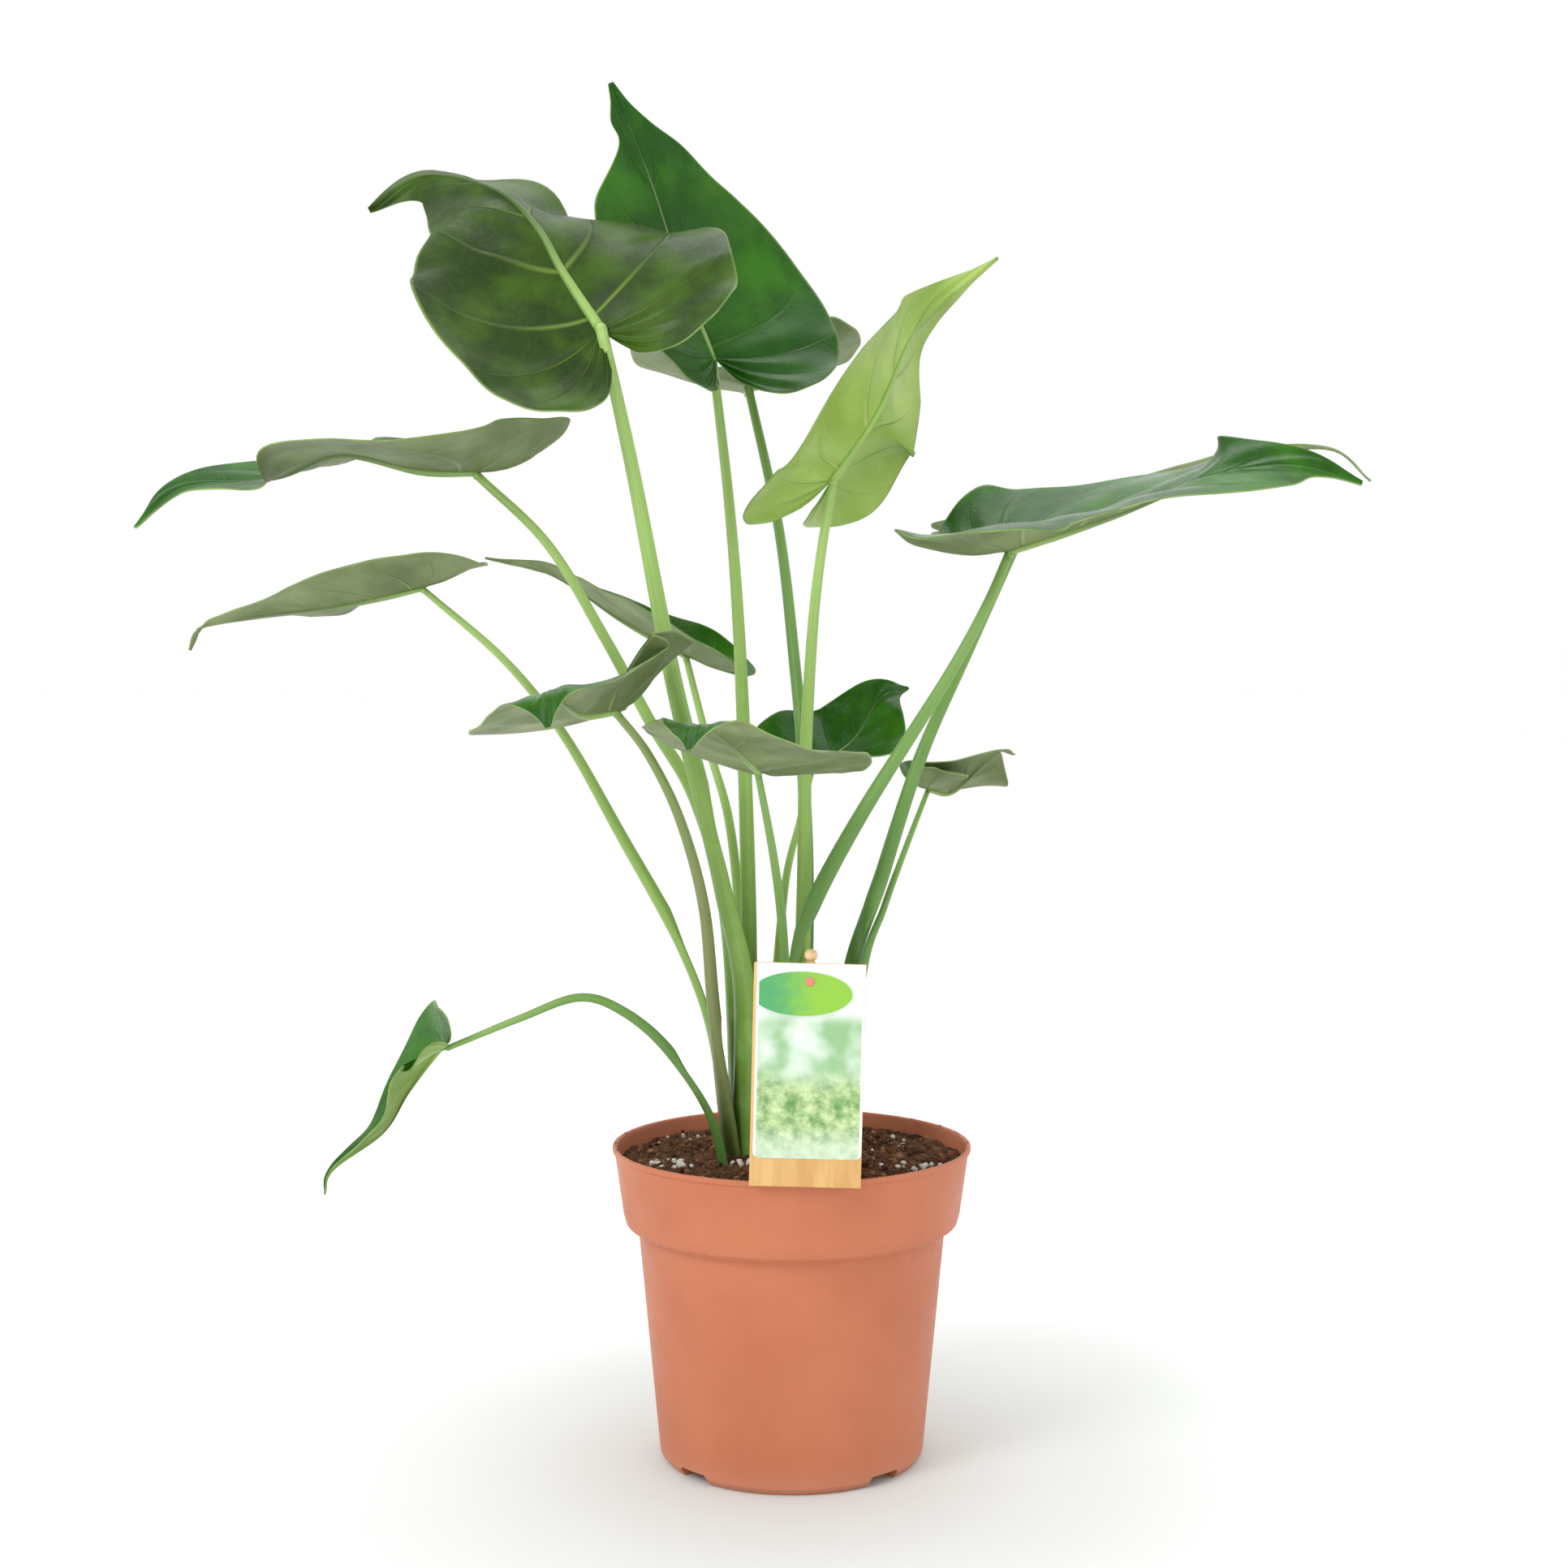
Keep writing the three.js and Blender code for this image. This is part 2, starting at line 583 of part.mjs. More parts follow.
function cardSolid() {
  const { width, height, thickness, corner, x, y, z } = CARD;
  const [right, top] = [width / 2, height / 2];
  const outline = new THREE.Shape();
  outline.moveTo(-right + corner, -top);
  outline.lineTo(right - corner, -top);
  outline.absarc(right - corner, -top + corner, corner, -Math.PI / 2, 0);
  outline.lineTo(right, top);
  outline.lineTo(-right, top);
  outline.lineTo(-right, -top + corner);
  outline.absarc(-right + corner, -top + corner, corner, Math.PI, 1.5 * Math.PI);
  const board = new THREE.ExtrudeGeometry(outline, {
    depth: thickness,
    bevelEnabled: false,
    curveSegments: 4,
  });
  board.rotateX(Math.PI / 2);
  board.rotateY(CARD_LEAN);
  board.translate(x, y + thickness / 2, z);
  return cutBy(solidOf(board), [rivetSolid(CLEARANCE)]);
}

function rivetSolid(grow) {
  const front = CARD.thickness / 2 + CLEARANCE;
  const depth = Math.abs(CARD.y - STICK.top[1]);
  const shank = RIVET.shank + grow;
  const profile = [
    [0, -depth - grow],
    [shank, -depth - grow],
    [shank, front],
    [RIVET.head, front],
    [RIVET.head, front + 0.5],
    [RIVET.head - 0.8, front + 1],
    [0, front + 1],
  ];
  const rivet = turned(profile, 16);
  rivet.rotateX(Math.PI / 2);
  rivet.translate(RIVET.x, CARD.y, RIVET.height);
  return solidOf(rivet);
}

function stickSolid(grow) {
  const bottom = new THREE.Vector3(...STICK.bottom);
  const axis = new THREE.Vector3(...STICK.top).sub(bottom);
  const length = axis.length();
  const radius = STICK.radius + grow;
  const profile = [
    [0, -grow],
    [0.8 + grow, -grow],
    [radius, 8],
    [radius, length - 9],
    [STICK.knob - 0.4, length - 8.2],
    [radius - 0.6, length - 6.6],
    [STICK.knob, length - 4.2],
    [STICK.knob, length - 2],
    [STICK.knob - 1.6, length],
    [0, length],
  ];
  const stick = turned(profile, 12);
  stick.applyQuaternion(
    new THREE.Quaternion().setFromUnitVectors(new THREE.Vector3(0, 0, 1), axis.normalize()),
  );
  stick.translate(...STICK.bottom);
  return solidOf(stick);
}

// Assembly

// The leaf numbers from the one whose stalk keeps its full shape to the one that gives way
const STALK_ORDER = [13, 1, 5, 9, 7, 10, 4, 2, 14, 12, 6, 3, 8, 11];
const YOUNG_LEAF = 4;

function label(number) {
  return String(number).padStart(2, "0");
}

addNode("pot", cutBy(solidOf(turned(potProfile(), POT_SIDES)), drainCutters()), COLOURS.pot, 0.45);

const cormCutters = Object.values(CORMS).map((corm) => cormSolid(corm, CLEARANCE));
const stalkCutters = LEAVES.map((leaf) => stalkSolid(leaf, CLEARANCE));
const soilCutters = [...cormCutters, ...stalkCutters, stickSolid(CLEARANCE)];
addNode("soil", cutBy(solidOf(turned(soilProfile(), POT_SIDES)), soilCutters), COLOURS.soil, 0.95);

for (const [name, corm] of Object.entries(CORMS)) {
  addNode(name, cormSolid(corm, 0), COLOURS.corm, 0.8);
}

LEAVES.forEach((leaf, i) => {
  const colour = i + 1 === YOUNG_LEAF ? COLOURS.youngLeaf : COLOURS.leaf;
  const blade = bladeSolid(leaf, -BLADE_THICKNESS / 2, BLADE_THICKNESS / 2, true);
  addNode(`blade_${label(i + 1)}`, blade, colour, 0.35);
});

STALK_ORDER.forEach((number, place) => {
  const leaf = LEAVES[number - 1];
  const earlier = STALK_ORDER.slice(0, place).map((other) => stalkCutters[other - 1]);
  const stalk = cutBy(stalkSolid(leaf, 0), [bladeCutter(leaf), ...cormCutters, ...earlier]);
  addNode(`petiole_${label(number)}`, stalk, COLOURS.stalk, 0.45);
});

addNode("tag_card", cardSolid(), COLOURS.card, 0.7);
addNode("tag_stick", cutBy(stickSolid(0), [rivetSolid(CLEARANCE)]), COLOURS.wood, 0.7);
addNode("tag_rivet", rivetSolid(0), COLOURS.rivet, 0.5);

export default group;
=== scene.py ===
"""The looks of the potted alocasia: leaves, stalks, pot, compost and label round the CAD frame."""

import math
import random

import bmesh
import bpy
import numpy as np
from mathutils import Matrix, Vector, noise


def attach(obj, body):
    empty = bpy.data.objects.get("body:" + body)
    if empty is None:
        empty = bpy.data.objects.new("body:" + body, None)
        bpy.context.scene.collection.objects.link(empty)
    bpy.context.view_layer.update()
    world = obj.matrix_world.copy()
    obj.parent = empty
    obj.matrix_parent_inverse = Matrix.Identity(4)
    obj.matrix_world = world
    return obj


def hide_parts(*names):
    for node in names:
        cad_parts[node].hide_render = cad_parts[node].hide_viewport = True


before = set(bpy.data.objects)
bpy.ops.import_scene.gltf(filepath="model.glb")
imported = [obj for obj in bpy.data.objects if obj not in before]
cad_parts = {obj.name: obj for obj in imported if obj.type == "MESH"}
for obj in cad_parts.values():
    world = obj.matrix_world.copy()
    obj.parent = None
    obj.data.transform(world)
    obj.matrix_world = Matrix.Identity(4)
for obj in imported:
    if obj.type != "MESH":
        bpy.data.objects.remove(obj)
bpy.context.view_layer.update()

MM = 0.001
BODY = "root"
SEED = 4

# Pot, compost and label, in millimetres, as in the CAD
POT_HEIGHT = 184
RIM_RADIUS = 105
FOOT_RADIUS = 74
WALL = 1.8
LIP_OVERHANG = 1.2
LIP_EDGE = 0.6
COLLAR_BOTTOM = 0.738 * POT_HEIGHT
BEVEL_TOP = 0.788 * POT_HEIGHT
COLLAR_TAPER = 5
COLLAR_STEP = 2.5
CHANNEL_DEPTH = 7
FOOT_CORNER = 4
COLLAR_RADIUS = RIM_RADIUS - LIP_OVERHANG
LIP_HEIGHT = 3
FOOT_RING = 8
CENTRE_RADIUS = 28
DRAIN_HOLES = 6
DRAIN_RADIUS = 5
DRAIN_CIRCLE = 48
NOTCHES = 4
BODY_TOP_RADIUS = RIM_RADIUS - 15
BODY_BOTTOM_RADIUS = FOOT_RADIUS + 3.5
NOTCH_WIDTH = 22
NOTCH_HEIGHT = 6.2
NOTCH_BEARING = math.pi * 1.24
SOIL_EDGE = POT_HEIGHT - 8
SOIL_MOUND = POT_HEIGHT
SOIL_RADIUS = COLLAR_RADIUS - WALL - 1
POT_ROUNDING = 0.9
POT_SIDES = 192
CARD = {"width": 60.6, "height": 122, "x": 8.6, "y": -107.6, "z": 243.1, "lean": 1.4}

# Blade: half of the flat outline, from the notch at the stalk to the tip, as shares of the
# midrib's length and of the half width
OUTLINE = [
    (-0.035, 0.03),
    (-0.13, 0.1),
    (-0.235, 0.3),
    (-0.25, 0.58),
    (-0.16, 0.84),
    (0.02, 0.99),
    (0.22, 0.97),
    (0.43, 0.76),
    (0.62, 0.48),
    (0.78, 0.235),
    (0.9, 0.09),
    (1.0, 0.02),
]
BLADE_SAMPLES = 360
NOTCH_END = 1 / 11
VEIN_START = 0.45
WAVE_LENGTH = 0.09
DENT_LENGTH = 0.04
BLADE_HALF = 0.4
VEINS = 9
VEIN_BEND = 0.07
ROWS = 96
COLUMNS = 28
STALK_SIDES = 28
STALK_RINGS = 72
JOINT_RINGS = 9
RIB_RINGS = 34
SHEATH_SPREAD = 1.25

# The leaves, as in the CAD: midrib, width, way the upper side faces, fold, curl and margin
# waves of the left and right halves, bend of the basal lobes, stalk, its radii and its sheath
LEAVES = [
    {
        "rib": [[-106, -51, 650], [-128, -43, 683], [-143, -36, 709], [-169, -18, 734], [-212, 6, 747],
          [-246, 14, 729]],
        "width": 181,
        "face": [[-0.28, 0.96, 0], [-0.45, 0.84, -0.3], [-0.06, 1, -0.03]],
        "fold": [[-31, 29, 8], [0, 3, -8]],
        "curl": [[37, -9], [-43, -9]],
        "waves": [[[0.45, 8], [0.81, 25]], [[0.43, 0], [0.6, 14]]],
        "dents": [[[0.5, 0.1], [0.62, -0.2], [0.74, 0.15]], [[0.66, -0.12]]],
        "back": -42,
        "stalk": [[-27, -12, 158], [-26, -16, 272], [-38, -19, 333], [-48, -23, 376], [-67, -33, 455],
          [-89, -44, 573]],
        "thick": [8, 3.3],
        "sheath": [10.5, 0.48],
    },
    {
        "rib": [[-46, 40, 647], [-65, 61, 695], [-85, 52, 756], [-107, 37, 808]],
        "width": 164,
        "face": [[0.39, -0.84, 0.39], [0.39, -0.89, 0.24], [0.26, -0.95, 0.16]],
        "fold": [[24, 5, 5], [16, 4, 6]],
        "curl": [[22, 5], [-7, -7]],
        "waves": [[[0.43, 0], [0.65, -5]], [[0.47, -5], [0.67, 0]]],
        "dents": [[[0.76, 0.22], [0.85, -0.35], [0.91, 0.3]], [[0.8, 0.06], [0.72, -0.05]]],
        "back": 27,
        "stalk": [[-24, 4, 158], [-25, 5, 302], [-27, 10, 388], [-31, 20, 483], [-37, 30, 560]],
        "thick": [6, 2.6],
        "sheath": [7, 0.3],
    },
    {
        "rib": [[-27, 104, 639], [-29, 164, 642], [-27, 258, 677]],
        "width": 155,
        "face": [[0, -0.12, 0.99], [0.1, 0.02, 0.99], [0.2, 0.15, 0.97]],
        "fold": [[11, 1, -8], [18, 23, 10]],
        "curl": [[23, -9], [12, 13]],
        "waves": [[[0.43, -4], [0.76, 0]], [[0.33, 16], [0.63, -8]]],
        "back": 11,
        "stalk": [[2, 10, 158], [9, 16, 306], [7, 18, 402], [2, 36, 464], [-8, 69, 549]],
        "thick": [5, 2.7],
        "sheath": [6, 0.3],
    },
    {
        "rib": [[23, -19, 570], [48, -37, 606], [74, 5, 662], [121, 22, 703]],
        "width": 99,
        "face": [[-0.52, 0.82, 0.25], [-0.54, 0.78, 0.32], [-0.48, 0.81, 0.35]],
        "fold": [[31, 20, 36], [5, 4, 22]],
        "curl": [[-18, 4], [-33, -23]],
        "waves": [[[0.41, -10], [0.63, -9]], [[0.52, -7], [0.68, -9]]],
        "dents": [[[0.74, -0.2], [0.84, 0.12]], [[0.72, 0.1]]],
        "back": 25,
        "stalk": [[2, -1, 158], [7, -2, 322], [8, -6, 408], [12, -11, 483], [17, -15, 529]],
        "thick": [6, 2.5],
        "sheath": [7, 0.35],
    },
    {
        "rib": [[124, -19, 530], [181, -40, 549], [234, -79, 569], [281, -70, 574], [313, -72, 564]],
        "width": 168,
        "face": [[-0.14, 0.18, 0.97], [-0.12, -0.18, 0.98], [0.08, -0.72, 0.69]],
        "fold": [[38, 11, 23], [17, 8, 18]],
        "curl": [[-6, 0], [-41, -12]],
        "waves": [[[0.36, 14], [0.55, -5]], [[0.31, 4], [0.8, -6]]],
        "back": 28,
        "stalk": [[-13, -14, 158], [-2, -16, 286], [12, -17, 326], [41, -18, 380], [88, -18, 455],
          [111, -19, 497]],
        "thick": [7, 2.6],
        "sheath": [8, 0.42],
    },
    {
        "rib": [[-180, -19, 575], [-210, -29, 575], [-256, -27, 584], [-296, -14, 572], [-345, -29, 565],
          [-365, -56, 541]],
        "width": 126,
        "face": [[-0.06, 0.1, 0.99], [0.31, -0.18, 0.94], [-0.33, -0.69, 0.65]],
        "fold": [[10, 8, 17], [13, 1, 8]],
        "curl": [[2, -10], [22, -12]],
        "waves": [[[0.41, 6], [0.64, -1]], [[0.5, 2], [0.65, 2]]],
        "back": 39,
        "stalk": [[-30, 6, 158], [-37, 2, 308], [-55, -4, 384], [-82, -9, 432], [-108, -14, 481],
          [-140, -18, 534]],
        "thick": [5.5, 2.4],
        "sheath": [7, 0.3],
    },
    {
        "rib": [[-211, -21, 509], [-252, -31, 499], [-291, -31, 494], [-328, -34, 488], [-335, -40, 483],
          [-340, -39, 473]],
        "width": 79,
        "face": [[0.11, 0.14, 0.98], [0.02, 0.38, 0.92], [-0.29, 0.25, 0.92]],
        "fold": [[16, 11, 10], [23, 11, 12]],
        "curl": [[14, -2], [-12, 0]],
        "waves": [[[0.3, -12], [0.69, -4]], [[0.44, 4], [0.7, 4]]],
        "back": 10,
        "stalk": [[-34, -7, 158], [-42, -12, 238], [-60, -12, 295], [-99, -8, 366], [-132, -7, 424],
          [-165, -14, 467]],
        "thick": [5.5, 1.8],
        "sheath": [8, 0.42],
    },
    {
        "rib": [[-64, 79, 470], [-104, 93, 492], [-150, 111, 521], [-190, 92, 531]],
        "width": 79,
        "face": [[-0.22, 0.14, 0.97], [-0.1, 0.2, 0.97], [-0.24, -0.02, 0.97]],
        "fold": [[22, 20, 20], [11, 15, 2]],
        "curl": [[-1, -12], [26, -5]],
        "waves": [[[0.37, 1], [0.6, 2]], [[0.46, 4], [0.55, 1]]],
        "back": 9,
        "stalk": [[-22, 14, 158], [-29, 24, 290], [-37, 42, 367], [-50, 60, 413]],
        "thick": [4.5, 2],
        "sheath": [5.5, 0.3],
    },
    {
        "rib": [[-98, -59, 439], [-116, -85, 438], [-126, -154, 451], [-121, -198, 433]],
        "width": 130,
        "face": [[-0.35, 0.24, 0.91], [-0.24, 0.11, 0.97], [-0.2, -0.82, 0.53]],
        "fold": [[22, 12, 7], [8, -7, 5]],
        "curl": [[2, -11], [19, 0]],
        "waves": [[[0.37, -10], [0.74, -8]], [[0.39, 3], [0.72, -1]]],
        "back": 42,
        "stalk": [[-31, -15, 158], [-44, -24, 259], [-50, -33, 326], [-63, -44, 377], [-80, -54, 414]],
        "thick": [5, 2.2],
        "sheath": [6.5, 0.35],
    },
    {
        "rib": [[-18, -77, 406], [-32, -131, 423], [-46, -165, 434], [-51, -199, 422]],
        "width": 128,
        "face": [[0.2, 0.07, 0.98], [-0.03, -0.11, 0.99], [-0.3, -0.8, 0.52]],
        "fold": [[18, 8, 3], [1, 9, -16]],
        "curl": [[-14, 2], [17, -3]],
        "waves": [[[0.46, 6], [0.65, -7]], [[0.45, -3], [0.74, 2]]],
        "back": 22,
        "stalk": [[-10, -14, 158], [-4, -24, 249], [-5, -42, 312], [-10, -59, 357]],
        "thick": [4.5, 1.9],
        "sheath": [5.5, 0.35],
    },
    {
        "rib": [[12, 68, 401], [38, 88, 418], [56, 103, 445], [74, 123, 450]],
        "width": 96,
        "face": [[-0.25, -0.68, 0.69], [-0.17, -0.8, 0.58], [0.23, -0.87, 0.44]],
        "fold": [[10, 5, 17], [32, 10, 10]],
        "curl": [[8, 1], [15, 8]],
        "waves": [[[0.41, 0], [0.69, -6]], [[0.44, -2], [0.68, 0]]],
        "back": 27,
        "stalk": [[-12, 10, 158], [-10, 18, 258], [-4, 38, 332], [5, 55, 370]],
        "thick": [4, 1.8],
        "sheath": [5, 0.3],
    },
    {
        "rib": [[83, 60, 389], [99, 63, 388], [122, 34, 412], [134, 42, 411]],
        "width": 65,
        "face": [[0.17, 0.01, 0.98], [0.08, 0.18, 0.98], [0, 0.1, 0.99]],
        "fold": [[25, 12, 3], [20, 9, 2]],
        "curl": [[9, 8], [-1, -24]],
        "waves": [[[0.41, 0], [0.65, -10]], [[0.37, 4], [0.58, 7]]],
        "back": 34,
        "stalk": [[31, -5, 158], [41, 0, 279], [55, 16, 322], [69, 38, 356]],
        "thick": [3.5, 1.5],
        "sheath": [4.5, 0.35],
    },
    {
        "rib": [[-194, -61, 251], [-201, -50, 246], [-219, -41, 222], [-232, -47, 200], [-257, -66, 182],
          [-260, -73, 170]],
        "width": 54,
        "face": [[-0.85, -0.24, 0.47], [-0.64, -0.33, 0.69], [-0.5, -0.44, 0.75]],
        "fold": [[40, 38, 43], [34, 23, 30]],
        "curl": [[-6, 25], [4, -23]],
        "waves": [[[0.44, -2], [0.62, -1]], [[0.34, 5], [0.69, -2]]],
        "back": 31,
        "stalk": [[-35, -29, 158], [-45, -30, 205], [-70, -38, 245], [-95, -44, 268], [-120, -49, 277],
          [-153, -55, 266]],
        "thick": [4.5, 1.6],
        "sheath": [7, 0.4],
    },
    {
        "rib": [[144, 95, 551], [213, 92, 569], [287, 84, 592], [329, 72, 596], [351, 62, 576]],
        "width": 80,
        "face": [[-0.2, 0.1, 0.97], [-0.15, 0.05, 0.98], [0.1, 0, 0.99]],
        "fold": [[12, 8, 6], [12, 8, 6]],
        "curl": [[6, -8], [6, -8]],
        "waves": [[[0.4, 4], [0.65, -3]], [[0.45, -3], [0.7, 4]]],
        "back": 15,
        "stalk": [[29, 5, 158], [34, 10, 278], [53, 12, 340], [77, 20, 412], [107, 50, 474]],
        "thick": [6.5, 2.4],
        "sheath": [8, 0.4],
    },
]

# Shader helpers


def srgb(red, green, blue):
    """Linear colour of an 8-bit sRGB one."""
    shares = [value / 255 for value in (red, green, blue)]
    return [c / 12.92 if c <= 0.04045 else ((c + 0.055) / 1.055) ** 2.4 for c in shares] + [1.0]


class Shader:
    """A Principled material that is built node by node."""

    def __init__(self, name, roughness=0.5, specular=0.5):
        self.material = bpy.data.materials.new(name)
        self.material.use_nodes = True
        self.tree = self.material.node_tree
        self.principled = self.tree.nodes["Principled BSDF"]
        self.principled.inputs["Roughness"].default_value = roughness
        self.principled.inputs["Specular IOR Level"].default_value = specular

    def node(self, kind, **settings):
        made = self.tree.nodes.new(kind)
        for key, value in settings.items():
            setattr(made, key, value)
        return made

    def put(self, socket, value):
        if isinstance(value, bpy.types.NodeSocket):
            self.tree.links.new(value, socket)
        else:
            socket.default_value = value

    def math(self, operation, *values, clamp=False):
        made = self.node("ShaderNodeMath", operation=operation, use_clamp=clamp)
        for socket, value in zip(made.inputs, values):
            self.put(socket, value)
        return made.outputs[0]

    def ramp(self, value, low, high, to_low=0.0, to_high=1.0):
        made = self.node("ShaderNodeMapRange", interpolation_type="SMOOTHSTEP")
        for socket, given in zip(made.inputs, (value, low, high, to_low, to_high)):
            self.put(socket, given)
        return made.outputs[0]

    def mix(self, share, first, second, blend="MIX"):
        made = self.node("ShaderNodeMix", data_type="RGBA", blend_type=blend)
        self.put(made.inputs["Factor"], share)
        self.put(made.inputs[6], first)
        self.put(made.inputs[7], second)
        return made.outputs[2]

    def parts(self, vector):
        """The x, y and z of a vector."""
        split = self.node("ShaderNodeSeparateXYZ")
        self.put(split.inputs[0], vector)
        return split.outputs

    def length(self, first, second):
        """Length of the flat vector with these two parts."""
        squares = [self.math("POWER", self.math("ABSOLUTE", part), 2.0) for part in (first, second)]
        return self.math("SQRT", self.math("ADD", *squares))

    def place(self, source="Object", scale=(1, 1, 1)):
        mapping = self.node("ShaderNodeMapping")
        mapping.inputs["Scale"].default_value = scale
        coordinate = self.node("ShaderNodeTexCoord")
        self.put(mapping.inputs["Vector"], coordinate.outputs[source])
        return mapping.outputs["Vector"]

    def noise(self, vector, scale, detail=3.0, roughness=0.55):
        made = self.node("ShaderNodeTexNoise")
        self.put(made.inputs["Vector"], vector)
        made.inputs["Scale"].default_value = scale
        made.inputs["Detail"].default_value = detail
        made.inputs["Roughness"].default_value = roughness
        return made.outputs["Fac"]

    def cells(self, vector, scale, feature="F1"):
        made = self.node("ShaderNodeTexVoronoi", feature=feature)
        self.put(made.inputs["Vector"], vector)
        made.inputs["Scale"].default_value = scale
        return made.outputs["Distance"]

    def bump(self, height, distance, strength=1.0, normal=None):
        made = self.node("ShaderNodeBump")
        made.inputs["Distance"].default_value = distance
        made.inputs["Strength"].default_value = strength
        self.put(made.inputs["Height"], height)
        if normal is not None:
            self.put(made.inputs["Normal"], normal)
        return made.outputs["Normal"]

    def surface(self, colour=None, roughness=None, normal=None):
        if colour is not None:
            self.put(self.principled.inputs["Base Color"], colour)
        if roughness is not None:
            self.put(self.principled.inputs["Roughness"], roughness)
        if normal is not None:
            self.put(self.principled.inputs["Normal"], normal)
        return self.material


def leaf_shader(name, light, dark, vein, pale, roughness, rise, specular):
    """A blade's face: veins run out from the midrib along the rows of its UV map.

    rise is the height of the veins over the face, negative where they are sunk into it."""
    shader = Shader(name, specular=specular)
    right, along, _ = shader.parts(shader.place("UV"))
    sideways = shader.math("ABSOLUTE", shader.math("SUBTRACT", right, 0.5))
    across = shader.math("MULTIPLY", sideways, 2.0)
    spread = shader.math("MULTIPLY", shader.math("POWER", across, 2.0), VEIN_BEND)
    phase = shader.math("MULTIPLY", shader.math("SUBTRACT", along, spread), float(VEINS))
    offset = shader.math("ABSOLUTE", shader.math("SUBTRACT", shader.math("FRACT", phase), 0.5))
    before_tip = shader.ramp(along, 0.8, 0.95, 1.0, 0.0)
    width = shader.ramp(across, 0.0, 1.0, 0.075, 0.035)
    line = shader.ramp(offset, 0.0, width, 1.0, 0.0)
    fading = shader.math("MULTIPLY", shader.ramp(across, 0.25, 0.95, 1.0, 0.12), before_tip)
    lateral = shader.math("MULTIPLY", line, fading)
    midrib = shader.math("MULTIPLY", shader.ramp(across, 0.012, 0.04, 1.0, 0.0), before_tip)
    veins = shader.math("MAXIMUM", lateral, midrib)
    here = shader.place("Object")
    patches = shader.ramp(shader.noise(here, 26.0, 4.0), 0.35, 0.68)
    base = shader.mix(patches, dark, light)
    speckle = shader.ramp(shader.noise(here, 420.0, 2.0), 0.4, 0.7, 0.0, 0.16)
    base = shader.mix(speckle, base, light)
    # Painted shade: the face is darkened in a band along each lateral vein, standing in for the shadow of
    # the vein relief.
    vein_shade = shader.math("MULTIPLY", shader.ramp(offset, 0.0, 0.3, 0.34, 0.0), fading)
    base = shader.mix(vein_shade, base, dark)
    # Veins keep their own pale colour near the base of the midrib and turn dark farther out towards the
    # margin and the tip: the dark part is painted shade of their relief.
    farther = shader.math("MAXIMUM", shader.math("SUBTRACT", along, 0.5), 0.0)
    away = shader.math("ADD", shader.math("MULTIPLY", across, 1.5), shader.math("MULTIPLY", farther, 2.2))
    vein_tone_and_shade = shader.mix(shader.ramp(away, 0.1, 0.95), vein, shader.mix(0.25, dark, vein))
    colour = shader.mix(shader.math("MULTIPLY", veins, 0.62), base, vein_tone_and_shade)
    margin = shader.ramp(across, 0.978, 0.998, 0.0, 0.5)
    colour = shader.mix(margin, colour, pale)
    net = shader.ramp(shader.cells(here, 210.0, "DISTANCE_TO_EDGE"), 0.0, 0.12)
    fine = shader.math("MULTIPLY", net, -0.06 if rise > 0 else 0.06)
    quilt = shader.math("MULTIPLY", shader.noise(here, 70.0, 3.0), 0.22)
    height = shader.math("ADD", shader.math("MULTIPLY", veins, rise), shader.math("ADD", fine, quilt))
    gloss = shader.ramp(shader.noise(here, 48.0, 4.0), 0.3, 0.75, roughness, roughness + 0.16)
    return shader.surface(colour, gloss, shader.bump(height, 0.0009, 0.8))


def edge_shader(name, colour):
    shader = Shader(name, roughness=0.45)
    tone = shader.noise(shader.place("Object"), 60.0)
    return shader.surface(shader.mix(shader.ramp(tone, 0.3, 0.7), colour, srgb(104, 136, 66)))


def stalk_shader(name, base, middle, top):
    """A petiole: UV v runs from its base at 0 to the blade at 1, with fine lengthwise streaks."""
    shader = Shader(name, specular=0.45)
    along = shader.parts(shader.place("UV"))[1]
    lower = shader.mix(shader.ramp(along, 0.05, 0.5), base, middle)
    colour = shader.mix(shader.ramp(along, 0.45, 0.95), lower, top)
    streaks = shader.noise(shader.place("UV", (14.0, 2.6, 1.0)), 3.0, 2.0, 0.5)
    colour = shader.mix(shader.ramp(streaks, 0.42, 0.72, 0.0, 0.3), colour, base)
    blotches = shader.noise(shader.place("Object"), 55.0, 4.0)
    colour = shader.mix(shader.ramp(blotches, 0.5, 0.75, 0.0, 0.3), colour, top)
    colour = shader.mix(shader.ramp(along, 0.0, 0.035, 0.55, 0.0), colour, srgb(72, 50, 30))
    rough = shader.ramp(blotches, 0.3, 0.7, 0.34, 0.5)
    return shader.surface(colour, rough, shader.bump(streaks, 0.0003, 0.4))


